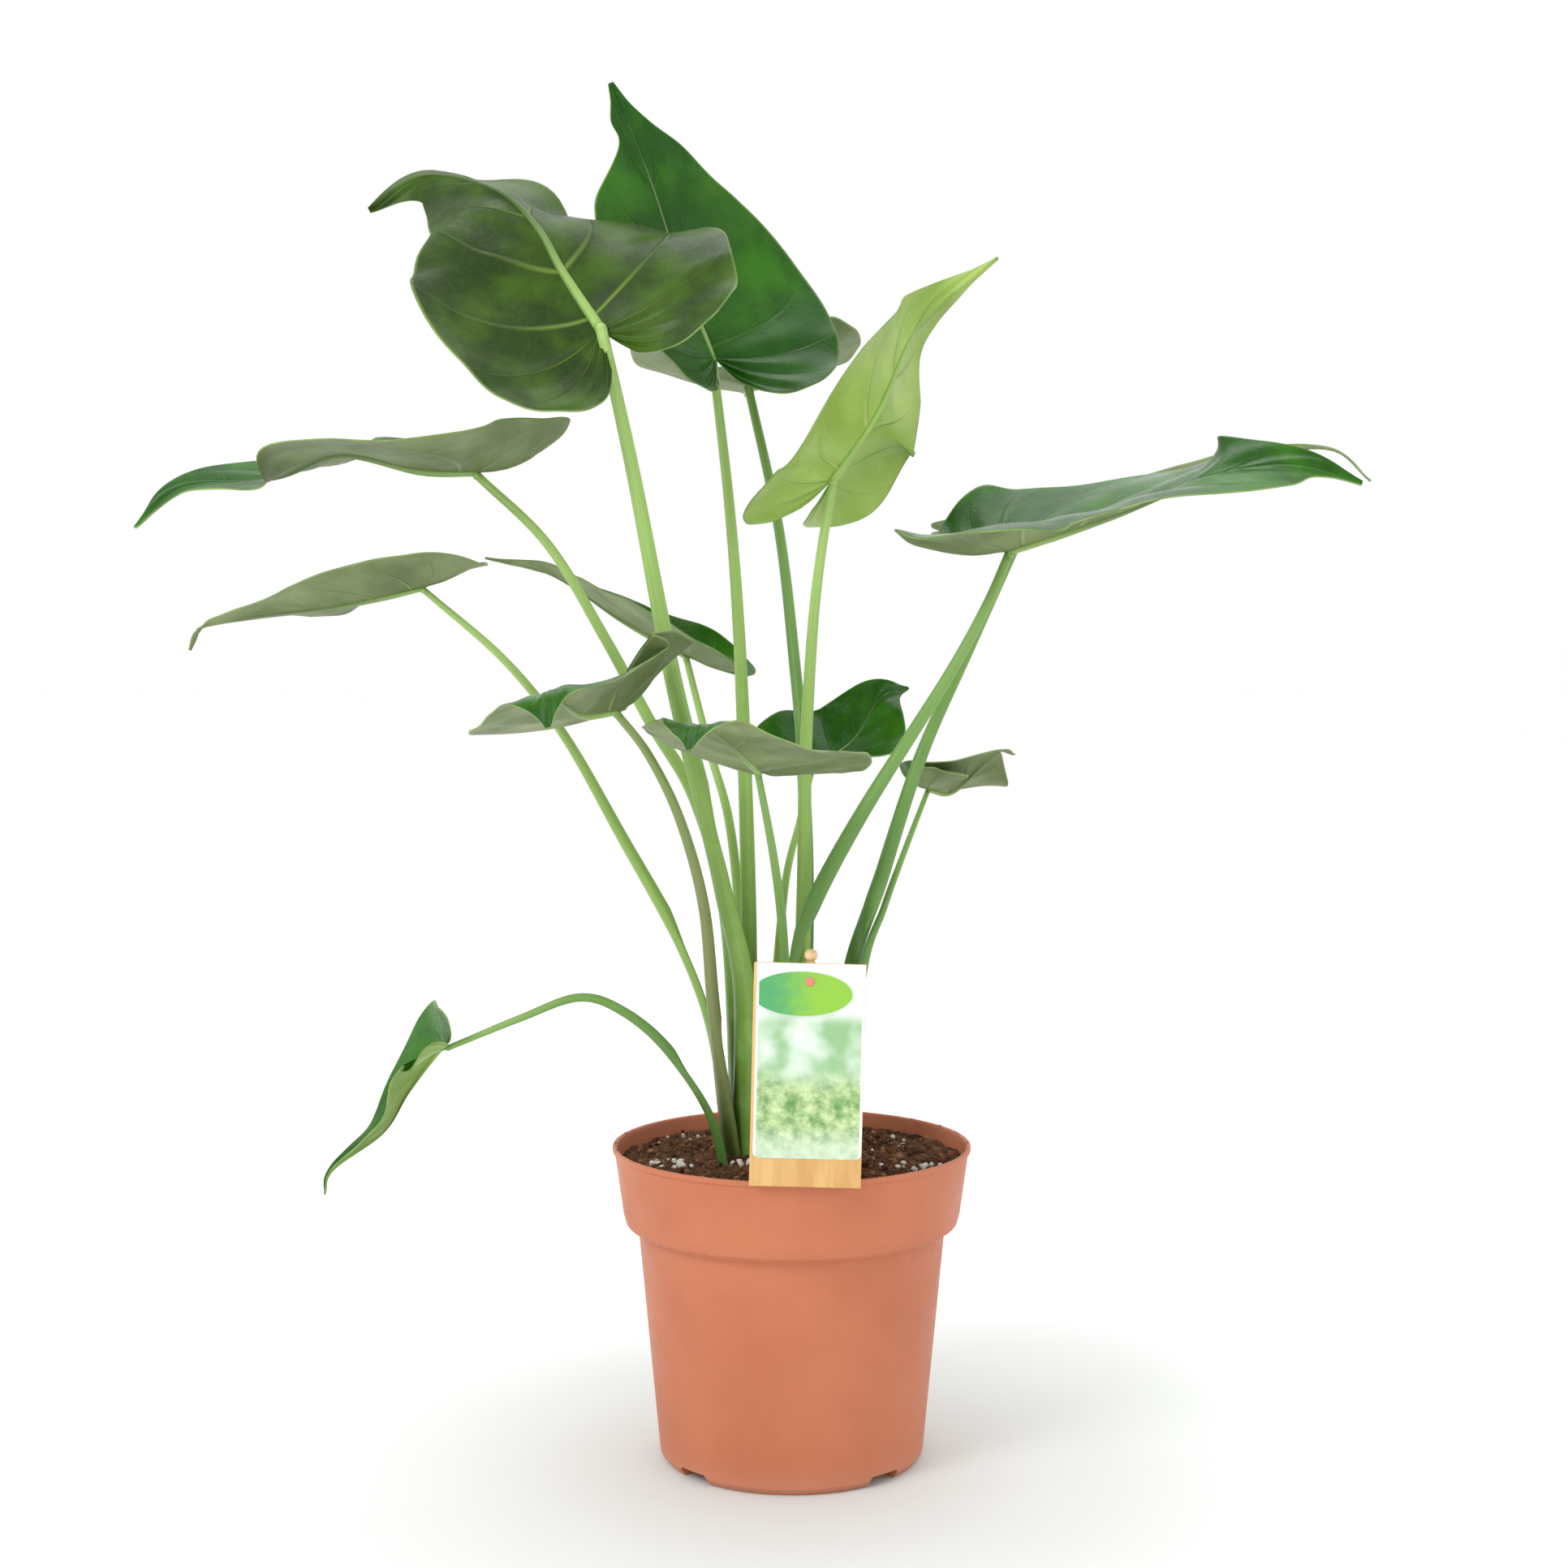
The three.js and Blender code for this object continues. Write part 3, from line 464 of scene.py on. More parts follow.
def pot_shader():
    shader = Shader("pot_plastic", specular=0.25)
    here = shader.place("Object")
    mottle = shader.noise(here, 14.0, 5.0)
    colour = shader.mix(shader.ramp(mottle, 0.3, 0.7), srgb(190, 112, 80), srgb(200, 121, 88))
    up = shader.parts(here)[2]
    dusty = shader.ramp(shader.noise(here, 90.0, 6.0, 0.7), 0.56, 0.8, 0.0, 0.3)
    colour = shader.mix(dusty, colour, srgb(204, 138, 112))
    foot = shader.ramp(up, 0.0, 0.02, 0.3, 0.0)
    colour = shader.mix(foot, colour, srgb(205, 150, 125))
    turning = shader.noise(shader.place("Object", (6.0, 6.0, 260.0)), 3.0, 3.0)
    scratches = shader.noise(shader.place("Object", (30.0, 30.0, 400.0)), 2.0, 6.0, 0.7)
    scuffs = shader.ramp(scratches, 0.62, 0.75, 0.0, 0.4)
    low_down = shader.ramp(up, 0.0, 0.05, 0.6, 0.05)
    colour = shader.mix(shader.math("MULTIPLY", scuffs, low_down), colour, srgb(222, 178, 158))
    grain = shader.noise(here, 1500.0, 2.0)
    height = shader.math("ADD", shader.math("MULTIPLY", turning, 0.6), shader.math("MULTIPLY", grain, 0.25))
    rough = shader.ramp(shader.noise(here, 30.0, 4.0), 0.3, 0.7, 0.42, 0.55)
    return shader.surface(colour, rough, shader.bump(height, 0.00012, 0.6))


def compost_shader(name, dark, middle, light):
    shader = Shader(name, roughness=0.95, specular=0.15)
    here = shader.place("Object")
    clumps = shader.noise(here, 150.0, 8.0, 0.7)
    grain = shader.noise(here, 900.0, 6.0, 0.75)
    colour = shader.mix(shader.ramp(clumps, 0.36, 0.6), dark, middle)
    colour = shader.mix(shader.ramp(grain, 0.5, 0.72, 0.0, 0.8), colour, light)
    pits = shader.ramp(shader.cells(here, 420.0), 0.05, 0.5, 0.0, 1.0)
    height = shader.math("ADD", shader.math("MULTIPLY", grain, 0.8), pits)
    return shader.surface(colour, None, shader.bump(height, 0.0016, 1.0))


def speckled_shader(name, first, second, scale, roughness=0.7, rise=0.0004):
    shader = Shader(name, roughness=roughness, specular=0.3)
    tone = shader.noise(shader.place("Object"), scale, 6.0, 0.7)
    colour = shader.mix(shader.ramp(tone, 0.35, 0.65), first, second)
    return shader.surface(colour, None, shader.bump(tone, rise, 0.8))


def wood_shader(name, light, dark, direction):
    shader = Shader(name, roughness=0.62, specular=0.3)
    fibres = shader.noise(shader.place("Object", direction), 6.0, 7.0, 0.65)
    colour = shader.mix(shader.ramp(fibres, 0.38, 0.66), light, dark)
    return shader.surface(colour, None, shader.bump(fibres, 0.0003, 0.5))


def panel_shader():
    """The label's printed panel: out-of-focus greens on white, with nothing to read."""
    shader = Shader("label_print", roughness=0.32, specular=0.5)
    right, up, _ = shader.parts(shader.place("UV"))
    soft = shader.noise(shader.place("UV", (1.0, 1.6, 1.0)), 3.2, 2.0, 0.4)
    leafy = shader.noise(shader.place("UV", (1.0, 1.8, 1.0)), 7.0, 5.0, 0.65)
    glow = shader.mix(shader.ramp(soft, 0.35, 0.65), srgb(148, 192, 138), srgb(222, 238, 222))
    meadow = shader.mix(shader.ramp(leafy, 0.25, 0.75), srgb(72, 136, 56), srgb(216, 236, 176))
    colour = shader.mix(shader.ramp(up, 0.5, 0.32), glow, meadow)
    foot = shader.ramp(up, 0.2, 0.02, 0.0, 0.55)
    colour = shader.mix(foot, colour, srgb(225, 240, 225))
    sideways = shader.math("DIVIDE", shader.math("SUBTRACT", right, 0.42), 0.47)
    upwards = shader.math("DIVIDE", shader.math("SUBTRACT", up, 0.845), 0.115)
    away = shader.length(sideways, upwards)
    drift = shader.math("ADD", right, shader.math("MULTIPLY", leafy, 0.5))
    patch = shader.mix(shader.ramp(drift, 0.35, 0.85), srgb(78, 168, 104), srgb(142, 198, 60))
    above = shader.ramp(up, 0.68, 0.78, 0.0, 1.0)
    colour = shader.mix(above, colour, srgb(246, 250, 246))
    shade = shader.ramp(away, 1.22, 0.95, 0.0, 0.35)
    colour = shader.mix(shade, colour, srgb(120, 140, 120))
    colour = shader.mix(shader.ramp(away, 1.0, 0.97), colour, patch)
    sides = shader.math("MAXIMUM", shader.ramp(right, 0.972, 0.982), shader.ramp(right, 0.028, 0.018))
    border = shader.math("MAXIMUM", sides, shader.ramp(up, 0.985, 0.991))
    colour = shader.mix(border, colour, srgb(250, 250, 248))
    grain = shader.noise(shader.place("UV"), 320.0, 2.0)
    return shader.surface(colour, None, shader.bump(grain, 0.00005, 0.3))


# Curves and blades


def catmull(points, samples):
    """Points of the Catmull-Rom curve through points, as the CAD draws it."""
    given = np.asarray(points, float)
    last = len(given) - 1
    ends = np.vstack([2 * given[0] - given[1], given, 2 * given[-1] - given[-2]])
    places = np.linspace(0, last, samples)
    steps = np.minimum(places.astype(int), last - 1)
    t = (places - steps)[:, None]
    before, here, there, after = (ends[steps + k] for k in range(4))
    start, finish = 0.5 * (there - before), 0.5 * (after - here)
    square = (-3 * here + 3 * there - 2 * start - finish) * t**2
    return here + start * t + square + (2 * here - 2 * there + start + finish) * t**3


def unit(vectors):
    return vectors / np.linalg.norm(vectors, axis=-1, keepdims=True)


class Line:
    """A smooth curve that is walked by share of its length."""

    def __init__(self, points):
        self.points = catmull(points, 260)
        steps = np.linalg.norm(np.diff(self.points, axis=0), axis=1)
        walked = np.r_[0, np.cumsum(steps)]
        self.length = walked[-1]
        self.shares = walked / self.length

    def at(self, share):
        return np.stack([np.interp(share, self.shares, self.points[:, k]) for k in range(3)], -1)

    def along(self, share):
        ahead = self.at(np.minimum(np.asarray(share) + 0.02, 1))
        return unit(ahead - self.at(np.maximum(np.asarray(share) - 0.02, 0)))


def between(values, share):
    return np.interp(share, np.linspace(0, 1, len(values)), values)


def rib_frame(leaf, rib, share):
    along = rib.along(share)
    faces = unit(np.array(leaf["face"], float))
    facing = np.stack([between(faces[:, k], share) for k in range(3)], -1)
    facing = unit(facing - (facing * along).sum(-1, keepdims=True) * along)
    return rib.at(share), along, facing


def blade_points(leaf, lift, phase):
    """The grid of a blade's points at a height over its middle surface, with its vein relief."""
    rib = Line(leaf["rib"])
    outline = catmull(OUTLINE, BLADE_SAMPLES)
    t = np.linspace(NOTCH_END, 1, ROWS + 1)[:, None]
    q = np.sin(np.linspace(-1, 1, 2 * COLUMNS + 1) * math.pi / 2)[None, :] * 0.35
    q = q + np.linspace(-1, 1, 2 * COLUMNS + 1)[None, :] * 0.65
    half, sign = np.abs(q), np.where(q < 0, -1.0, 1.0)
    walked = np.linspace(0, 1, BLADE_SAMPLES)
    edge = np.stack([np.interp(t[:, 0], walked, outline[:, k]) for k in (0, 1)], -1)
    start = np.maximum((t - VEIN_START) / (1 - VEIN_START), 0) ** 1.3
    u = start + half * (edge[:, :1] - start)
    reach = half * edge[:, 1:] * leaf["width"] / 2
    for side, dents in zip((-1, 1), leaf.get("dents", ())):
        for place, extra in dents:
            dent = 1 + extra * half**2 * np.exp(-(((t - place) / DENT_LENGTH) ** 2))
            reach = np.where(sign == side, reach * dent, reach)
    share = np.clip(u, 0, 1)
    point, along, facing = rib_frame(leaf, rib, share)
    sideways = np.cross(along, facing)
    behind = np.maximum(-u, 0)[..., None]
    bend = math.radians(leaf["back"]) * behind / 0.25
    point = point + behind * rib.length * (facing * np.sin(bend / 2) - along * np.cos(bend / 2))
    upward = facing * np.cos(bend) + along * np.sin(bend)

    def of_side(name):
        left, right = leaf[name]
        return np.where(q < 0, between(left, share), between(right, share))

    fold = np.radians(of_side("fold"))
    curl = np.radians(of_side("curl")) * reach / (leaf["width"] / 2)
    angle = fold + curl
    chord = reach * np.sinc(curl / 2 / math.pi)
    wave = np.full_like(u, lift)
    for side, bumps in zip((-1, 1), leaf["waves"]):
        for place, height in bumps:
            swell = height * half**2 * np.exp(-(((t - place) / WAVE_LENGTH) ** 2))
            wave = wave + np.where(sign == side, swell, 0)
    wave = wave + vein_relief(t, q, half, leaf["width"], phase)
    out = chord * np.cos(fold + curl / 2) - wave * np.sin(angle)
    rise = chord * np.sin(fold + curl / 2) + wave * np.cos(angle)
    place = point + sideways * (sign * out)[..., None] + upward * rise[..., None]
    return place, q + 0 * t, t + 0 * q


def vein_relief(t, q, half, width, phase):
    """Blades are sunk over their veins and swell a little between them; margins ripple."""
    turn = VEINS * (t - VEIN_BEND * half**2)
    furrow = np.cos(2 * math.pi * (turn - 0.5))
    room = np.clip(half * 3.5, 0, 1) * (1 - half**4)
    swell = -0.0042 * width * furrow * room
    groove = -0.004 * width * np.exp(-((half / 0.06) ** 2))
    side = np.where(q < 0, 1.7, 0.0)
    long_wave = np.sin(2 * math.pi * (5.2 * t + phase + side))
    short_wave = 0.6 * np.sin(2 * math.pi * (11 * t + 2 * phase - side))
    ripple = (long_wave + short_wave) * half**5 * np.sin(math.pi * t)
    return swell + groove + 0.0045 * width * ripple


# Pieces


def mesh_of(name, points, faces):
    """A mesh from points in millimetres."""
    mesh = bpy.data.meshes.new(name)
    mesh.from_pydata([[c * MM for c in point] for point in points], [], faces)
    return mesh


def face_outwards(mesh):
    work = bmesh.new()
    work.from_mesh(mesh)
    bmesh.ops.recalc_face_normals(work, faces=work.faces)
    work.to_mesh(mesh)
    work.free()


def new_object(name, data):
    made = bpy.data.objects.new(name, data)
    bpy.context.collection.objects.link(made)
    return made


def new_piece(name, mesh, materials, slot, *nodes):
    piece = new_object(name, mesh)
    for material in materials:
        mesh.materials.append(material)
    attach(piece, BODY)
    if nodes:
        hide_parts(*nodes)
    return piece


def shade_smooth(mesh, smooth=True):
    mesh.polygons.foreach_set("use_smooth", [smooth] * len(mesh.polygons))
    mesh.update()


def sheet_mesh(name, upper, lower, across, along):
    """A closed thin shell from two grids of points, with faces of slot 0 above, 1 below and 2 round
    the margin. UV is where a point is across and along the blade."""
    rows, columns = upper.shape[:2]
    count = rows * columns
    points = np.concatenate([upper.reshape(-1, 3), lower.reshape(-1, 3)]) * MM
    uv = np.stack([(across.ravel() + 1) / 2, along.ravel()], -1)
    uv = np.concatenate([uv, uv])
    index = np.arange(count).reshape(rows, columns)
    a, b = index[:-1, :-1].ravel(), index[:-1, 1:].ravel()
    c, d = index[1:, 1:].ravel(), index[1:, :-1].ravel()
    top = np.stack([a, b, c, d], -1)
    bottom = np.stack([a, d, c, b], -1) + count
    rim = np.concatenate([index[0, :], index[1:, -1], index[-1, -2::-1], index[-2:0:-1, 0]])
    following = np.roll(rim, -1)
    wall = np.stack([rim, rim + count, following + count, following], -1)
    faces = np.concatenate([top, bottom, wall])
    slots = np.r_[np.zeros(len(top)), np.ones(len(bottom)), np.full(len(wall), 2)].astype(int)
    mesh = bpy.data.meshes.new(name)
    mesh.from_pydata(points.tolist(), [], faces.tolist())
    mesh.polygons.foreach_set("material_index", slots)
    layer = mesh.uv_layers.new(name="UVMap")
    layer.data.foreach_set("uv", uv[faces.ravel()].ravel())
    clean = bmesh.new()
    clean.from_mesh(mesh)
    bmesh.ops.remove_doubles(clean, verts=clean.verts, dist=0.02 * MM)
    bmesh.ops.recalc_face_normals(clean, faces=clean.faces)
    clean.to_mesh(mesh)
    clean.free()
    shade_smooth(mesh)
    return mesh


def make_blade(number, leaf, materials):
    phase = 0.37 * number
    upper, across, along = blade_points(leaf, BLADE_HALF, phase)
    lower = blade_points(leaf, -BLADE_HALF, phase)[0]
    mesh = sheet_mesh(f"leaf_{number:02d}", upper, lower, across, along)
    slot = "young_leaf" if number == YOUNG_LEAF else "leaf"
    return new_piece(f"leaf_{number:02d}", mesh, materials, slot, f"blade_{number:02d}")


def stalk_path(leaf):
    """The petiole's line up to the blade, and the midrib's line that it follows on the blade's underside.
    """
    rib = Line(leaf["rib"])
    facing = rib_frame(leaf, rib, 0.0)[2]
    joint = np.array(leaf["rib"][0], float)
    arrival = unit(joint - np.array(leaf["stalk"][-1], float))
    slant = np.linalg.norm(np.cross(arrival, facing))
    head = joint - facing * (BLADE_HALF + leaf["thick"][1] * slant)
    stalk = Line(leaf["stalk"] + [head.tolist()])
    return stalk, rib


def ring_points(centre, first, second, sides):
    """Points of an oval round a centre, with its two half axes."""
    turns = np.linspace(0, 2 * math.pi, sides, endpoint=False)[:, None]
    return centre + np.cos(turns) * first + np.sin(turns) * second


def stalk_rings(number, leaf, stalk):
    """The petiole's cross sections: round above, an open sheath near its base."""
    low, high = leaf["thick"]
    half_width, end = leaf["sheath"]
    widest = SHEATH_SPREAD * half_width
    foot, joint = np.array(leaf["stalk"][0], float), np.array(leaf["rib"][0], float)
    lean = unit((joint - foot) * [1, 1, 0])
    level = np.array([-lean[1], lean[0], 0])
    turns = np.linspace(0, 2 * math.pi, STALK_SIDES, endpoint=False)
    rings = []
    outward = lean
    for share in np.linspace(0, 1, STALK_RINGS):
        along = stalk.along(share)
        across = unit(level - level.dot(along) * along)
        out = np.cross(across, along)
        outward = out if out.dot(outward) > 0 else -out
        radius = low + (high - low) * share**0.85
        width, opened = radius, 0.0
        if share < end:
            width = max(radius, widest + (high - widest) * (share / end) ** 2.5)
            opened = min(1.0, 4 * (1 - share / end))
        right, front = np.cos(turns), np.sin(turns)
        hollow = 0.62 * (1 - right**2)
        front = np.where(front < 0, front * (1 - opened) - opened * (0.16 - hollow), front)
        ribbed = 1 + 0.035 * np.cos(7 * turns + number) * (1 - share)
        sideways = (right * width * ribbed)[:, None] * across
        rings.append(stalk.at(share) + sideways + (front * radius * ribbed)[:, None] * outward)
    return rings


def joint_rings(leaf, stalk, rib):
    """The small swelling where the petiole runs into the midrib, under the blade."""
    high = leaf["thick"][1]
    radius = 1.04 * high
    facing = rib_frame(leaf, rib, 0.0)[2]
    centre = rib.at(0.0) - facing * (BLADE_HALF + 0.85 * high)
    axis = stalk.along(1.0)
    first = unit(np.cross(axis, facing))
    second = np.cross(first, axis)
    rings = []
    for polar in np.radians(np.linspace(-80, 80, JOINT_RINGS)):
        size = radius * math.cos(polar)
        middle = centre + axis * radius * math.sin(polar)
        rings.append(ring_points(middle, first * size, second * size, STALK_SIDES))
    return rings


def midrib_rings(leaf, rib):
    """The midrib's ridge under the blade, which gets thinner towards the tip."""
    high = leaf["thick"][1]
    rings = []
    for share in np.linspace(0, 0.86, RIB_RINGS):
        centre, along, facing = rib_frame(leaf, rib, share)
        radius = high * (1 - share / 0.9) ** 1.15 * 0.92 + 0.18
        depth = radius * min(1.0, 0.6 + 3 * share)
        middle = centre - facing * (0.55 * radius + 0.1)
        rings.append(ring_points(middle, np.cross(along, facing) * radius, -facing * depth, STALK_SIDES))
    return rings


def tube_faces(sides, rings, offset=0):
    faces = []
    for ring in range(rings - 1):
        for k in range(sides):
            following = (k + 1) % sides
            a, b = ring * sides + k, ring * sides + following
            faces.append((offset + a, offset + b, offset + b + sides, offset + a + sides))
    faces.append([offset + k for k in reversed(range(sides))])
    faces.append([offset + (rings - 1) * sides + k for k in range(sides)])
    return faces


def make_stalk(number, leaf, material, rib_material):
    stalk, rib = stalk_path(leaf)
    tubes = [(stalk_rings(number, leaf, stalk), 0.0, 1.0, 0), (joint_rings(leaf, stalk, rib), 1.0, 1.0, 0),
             (midrib_rings(leaf, rib), 1.0, 1.86, 1)]
    points, uv, faces, slots = [], [], [], []
    for rings, low, high, slot in tubes:
        made = tube_faces(STALK_SIDES, len(rings), len(points))
        faces += made
        slots += [slot] * len(made)
        for ring, share in zip(rings, np.linspace(low, high, len(rings))):
            points += ring.tolist()
            uv += [(k / STALK_SIDES, share) for k in range(STALK_SIDES)]
    name = f"stalk_{number:02d}"
    mesh = mesh_of(name, points, faces)
    mesh.polygons.foreach_set("material_index", slots)
    layer = mesh.uv_layers.new(name="UVMap")
    corners = np.empty(len(mesh.loops), int)
    mesh.loops.foreach_get("vertex_index", corners)
    layer.data.foreach_set("uv", np.array(uv)[corners].ravel())
    face_outwards(mesh)
    shade_smooth(mesh)
    return new_piece(name, mesh, [material, rib_material], "stalk", f"petiole_{number:02d}")


def on_circle(radius, turn):
    return radius * math.cos(turn), radius * math.sin(turn)


def lathe(name, profile, sides):
    """A closed solid of revolution from [radius, height] pairs in millimetres."""
    points, faces = [], []
    for radius, height in profile:
        for k in range(sides):
            points.append((*on_circle(radius, 2 * math.pi * k / sides), height))
    for row in range(len(profile) - 1):
        for k in range(sides):
            a, b = row * sides + k, row * sides + (k + 1) % sides
            faces.append((a, b, b + sides, a + sides))
    faces.append(list(reversed(range(sides))))
    faces.append([(len(profile) - 1) * sides + k for k in range(sides)])
    mesh = mesh_of(name, points, faces)
    shade_smooth(mesh)
    return mesh


def rounded(profile, radius, steps=4):
    """The profile with its inner corners rounded by up to radius."""
    line = [np.array(point, float) for point in profile]
    out = [line[0]]
    for before, corner, after in zip(line, line[1:], line[2:]):
        back, on = before - corner, after - corner
        cut = min(radius, np.linalg.norm(back) * 0.45, np.linalg.norm(on) * 0.45)
        first, last = corner + unit(back) * cut, corner + unit(on) * cut
        for share in np.linspace(0, 1, steps + 1):
            out.append((1 - share) ** 2 * first + 2 * share * (1 - share) * corner + share**2 * last)
    out.append(line[-1])
    return [tuple(point) for point in out]


def pot_profile():
    lip, floor, ring = POT_HEIGHT - LIP_HEIGHT, CHANNEL_DEPTH + WALL, FOOT_RADIUS - FOOT_RING
    return [
        (0.5, 0),
        (CENTRE_RADIUS, 0),
        (CENTRE_RADIUS + 3, CHANNEL_DEPTH),
        (ring - 3, CHANNEL_DEPTH),
        (ring, 0),
        (FOOT_RADIUS, 0),
        (BODY_BOTTOM_RADIUS, FOOT_CORNER),
        (BODY_TOP_RADIUS, COLLAR_BOTTOM - 0.3),
        (BODY_TOP_RADIUS + COLLAR_STEP, COLLAR_BOTTOM),
        (COLLAR_RADIUS - 1.3 * COLLAR_TAPER, COLLAR_BOTTOM + 3.5),
        (COLLAR_RADIUS - COLLAR_TAPER, BEVEL_TOP),
        (COLLAR_RADIUS, lip),
        (RIM_RADIUS - 0.5 * LIP_EDGE, lip),
        (RIM_RADIUS, lip + 0.5 * LIP_EDGE),
        (RIM_RADIUS, POT_HEIGHT - 0.5 * LIP_EDGE),
        (RIM_RADIUS - 0.5 * LIP_EDGE, POT_HEIGHT),
        (COLLAR_RADIUS - WALL + LIP_EDGE, POT_HEIGHT),
        (COLLAR_RADIUS - WALL, lip),
        (COLLAR_RADIUS - COLLAR_TAPER - WALL, BEVEL_TOP),
        (BODY_TOP_RADIUS - WALL, COLLAR_BOTTOM - 1),
        (FOOT_RADIUS - WALL, floor),
        (CENTRE_RADIUS - 1, floor),
        (CENTRE_RADIUS - 3, WALL),
        (0.5, WALL),
    ]


def cutter_box(size, place, turn):
    mesh = bpy.data.meshes.new("cutter")
    tool = bmesh.new()
    bmesh.ops.create_cube(tool, size=1.0)
    bmesh.ops.scale(tool, vec=[s * MM for s in size], verts=tool.verts)
    bmesh.ops.bevel(tool, geom=list(tool.edges), offset=1.2 * MM, segments=3, affect="EDGES")
    bmesh.ops.translate(tool, vec=[s * MM for s in place], verts=tool.verts)
    bmesh.ops.rotate(tool, cent=(0, 0, 0), matrix=Matrix.Rotation(turn, 3, "Z"), verts=tool.verts)
    tool.to_mesh(mesh)
    tool.free()
    return mesh


def cutter_round(radius, place):
    mesh = bpy.data.meshes.new("cutter")
    tool = bmesh.new()
    size = radius * MM
    bmesh.ops.create_cone(tool, cap_ends=True, segments=40, radius1=size, radius2=size, depth=20 * MM)
    bmesh.ops.translate(tool, vec=[s * MM for s in place], verts=tool.verts)
    tool.to_mesh(mesh)
    tool.free()
    return mesh


def cut(mesh, cutters):
    """The mesh with the cutters' space taken out of it."""
    body = new_object("body", mesh)
    tools = []
    for cutter in cutters:
        tool = new_object("tool", cutter)
        tools.append(tool)
        modifier = body.modifiers.new("cut", "BOOLEAN")
        modifier.operation = "DIFFERENCE"
        modifier.solver = "EXACT"
        modifier.object = tool
    graph = bpy.context.evaluated_depsgraph_get()
    result = bpy.data.meshes.new_from_object(body.evaluated_get(graph))
    for leftover in [body] + tools:
        bpy.data.objects.remove(leftover)
    return result


def sharpen(mesh, degrees):
    """Marks the edges that turn by more than this as sharp."""
    work = bmesh.new()
    work.from_mesh(mesh)
    for edge in work.edges:
        turned = len(edge.link_faces) == 2 and edge.calc_face_angle(0) > math.radians(degrees)
        edge.smooth = not turned
    work.to_mesh(mesh)
    work.free()
    shade_smooth(mesh)


def make_pot():
    mesh = lathe("nursery_pot", rounded(pot_profile(), POT_ROUNDING), POT_SIDES)
    notch = (3 * FOOT_RING, NOTCH_WIDTH, 2 * NOTCH_HEIGHT)
    cutters = []
    for i in range(NOTCHES):
        bearing = NOTCH_BEARING + i * 2 * math.pi / NOTCHES
        cutters.append(cutter_box(notch, (FOOT_RADIUS, 0, 0), bearing))
    for i in range(DRAIN_HOLES):
        x, y = on_circle(DRAIN_CIRCLE, (i + 0.5) * 2 * math.pi / DRAIN_HOLES)
        cutters.append(cutter_round(DRAIN_RADIUS, (x, y, 5)))
    mesh = cut(mesh, cutters)
    sharpen(mesh, 38)
    return new_piece("nursery_pot", mesh, [pot_shader()], "pot_plastic", "pot")


# Compost

CRUMBS = 650
FIBRES = 560
PERLITE = 22
RIM_CRUMBS = 150


def soil_height(radius):
    """Height of the compost's even surface, in millimetres, at a distance from the axis."""
    drop = SOIL_MOUND - SOIL_EDGE
    shares = [0, 0.2, 0.4, 0.6, 0.8, 1]
    lifts = [1, 0.95, 0.7, 0.3, 0.12, 0]
    return SOIL_EDGE + drop * float(np.interp(radius / SOIL_RADIUS, shares, lifts))


def soil_surface(x, y):
    """Height of the uneven compost, in millimetres."""
    radius = math.hypot(x, y)
    coarse = noise.fractal(Vector((x * 0.05, y * 0.05, 3.1)), 0.9, 2.0, 4)
    fine = noise.fractal(Vector((x * 0.22, y * 0.22, 7.7)), 0.8, 2.0, 4)
    return soil_height(radius) - 1.2 + 2.0 * coarse + 1.3 * fine


def make_soil(material):
    rings, sides = 84, 220
    points = [(0, 0, soil_surface(0, 0))]
    for ring in range(1, rings + 1):
        radius = SOIL_RADIUS * (ring / rings) ** 0.9
        for k in range(sides):
            turn = 2 * math.pi * (k + 0.5 * (ring % 2)) / sides
            x, y = on_circle(radius, turn)
            points.append((x, y, soil_surface(x, y)))
    below = len(points)
    radius = SOIL_RADIUS - 5
    for k in range(sides):
        turn = 2 * math.pi * (k + 0.5 * (rings % 2)) / sides
        points.append((*on_circle(radius, turn), BEVEL_TOP))
    faces = [(0, 1 + k, 1 + (k + 1) % sides) for k in range(sides)]
    for ring in range(rings - 1):
        first, second = 1 + ring * sides, 1 + (ring + 1) * sides
        for k in range(sides):
            faces.append((first + k, second + k, second + (k + 1) % sides, first + (k + 1) % sides))
    last = 1 + (rings - 1) * sides
    for k in range(sides):
        faces.append((last + k, below + k, below + (k + 1) % sides, last + (k + 1) % sides))
    faces.append([below + k for k in reversed(range(sides))])
    mesh = mesh_of("compost", points, faces)
    shade_smooth(mesh)
    return new_piece("compost", mesh, [material], "compost", "soil")


class Heap:
    """Many small bits in one mesh."""

    def __init__(self):
        self.points = []
        self.faces = []

    def add(self, points, faces):
        offset = len(self.points)
        self.points += points
        self.faces += [[offset + corner for corner in face] for face in faces]

    def piece(self, name, material, slot, smooth):
        mesh = mesh_of(name, self.points, self.faces)
        shade_smooth(mesh, smooth)
        return new_piece(name, mesh, [material], slot)


def unit_lump(divisions):
    ball = bmesh.new()
    bmesh.ops.create_icosphere(ball, subdivisions=divisions, radius=1.0)
    ball.verts.ensure_lookup_table()
    points = [vertex.co.copy() for vertex in ball.verts]
    faces = [[vertex.index for vertex in face.verts] for face in ball.faces]
    ball.free()
    return points, faces


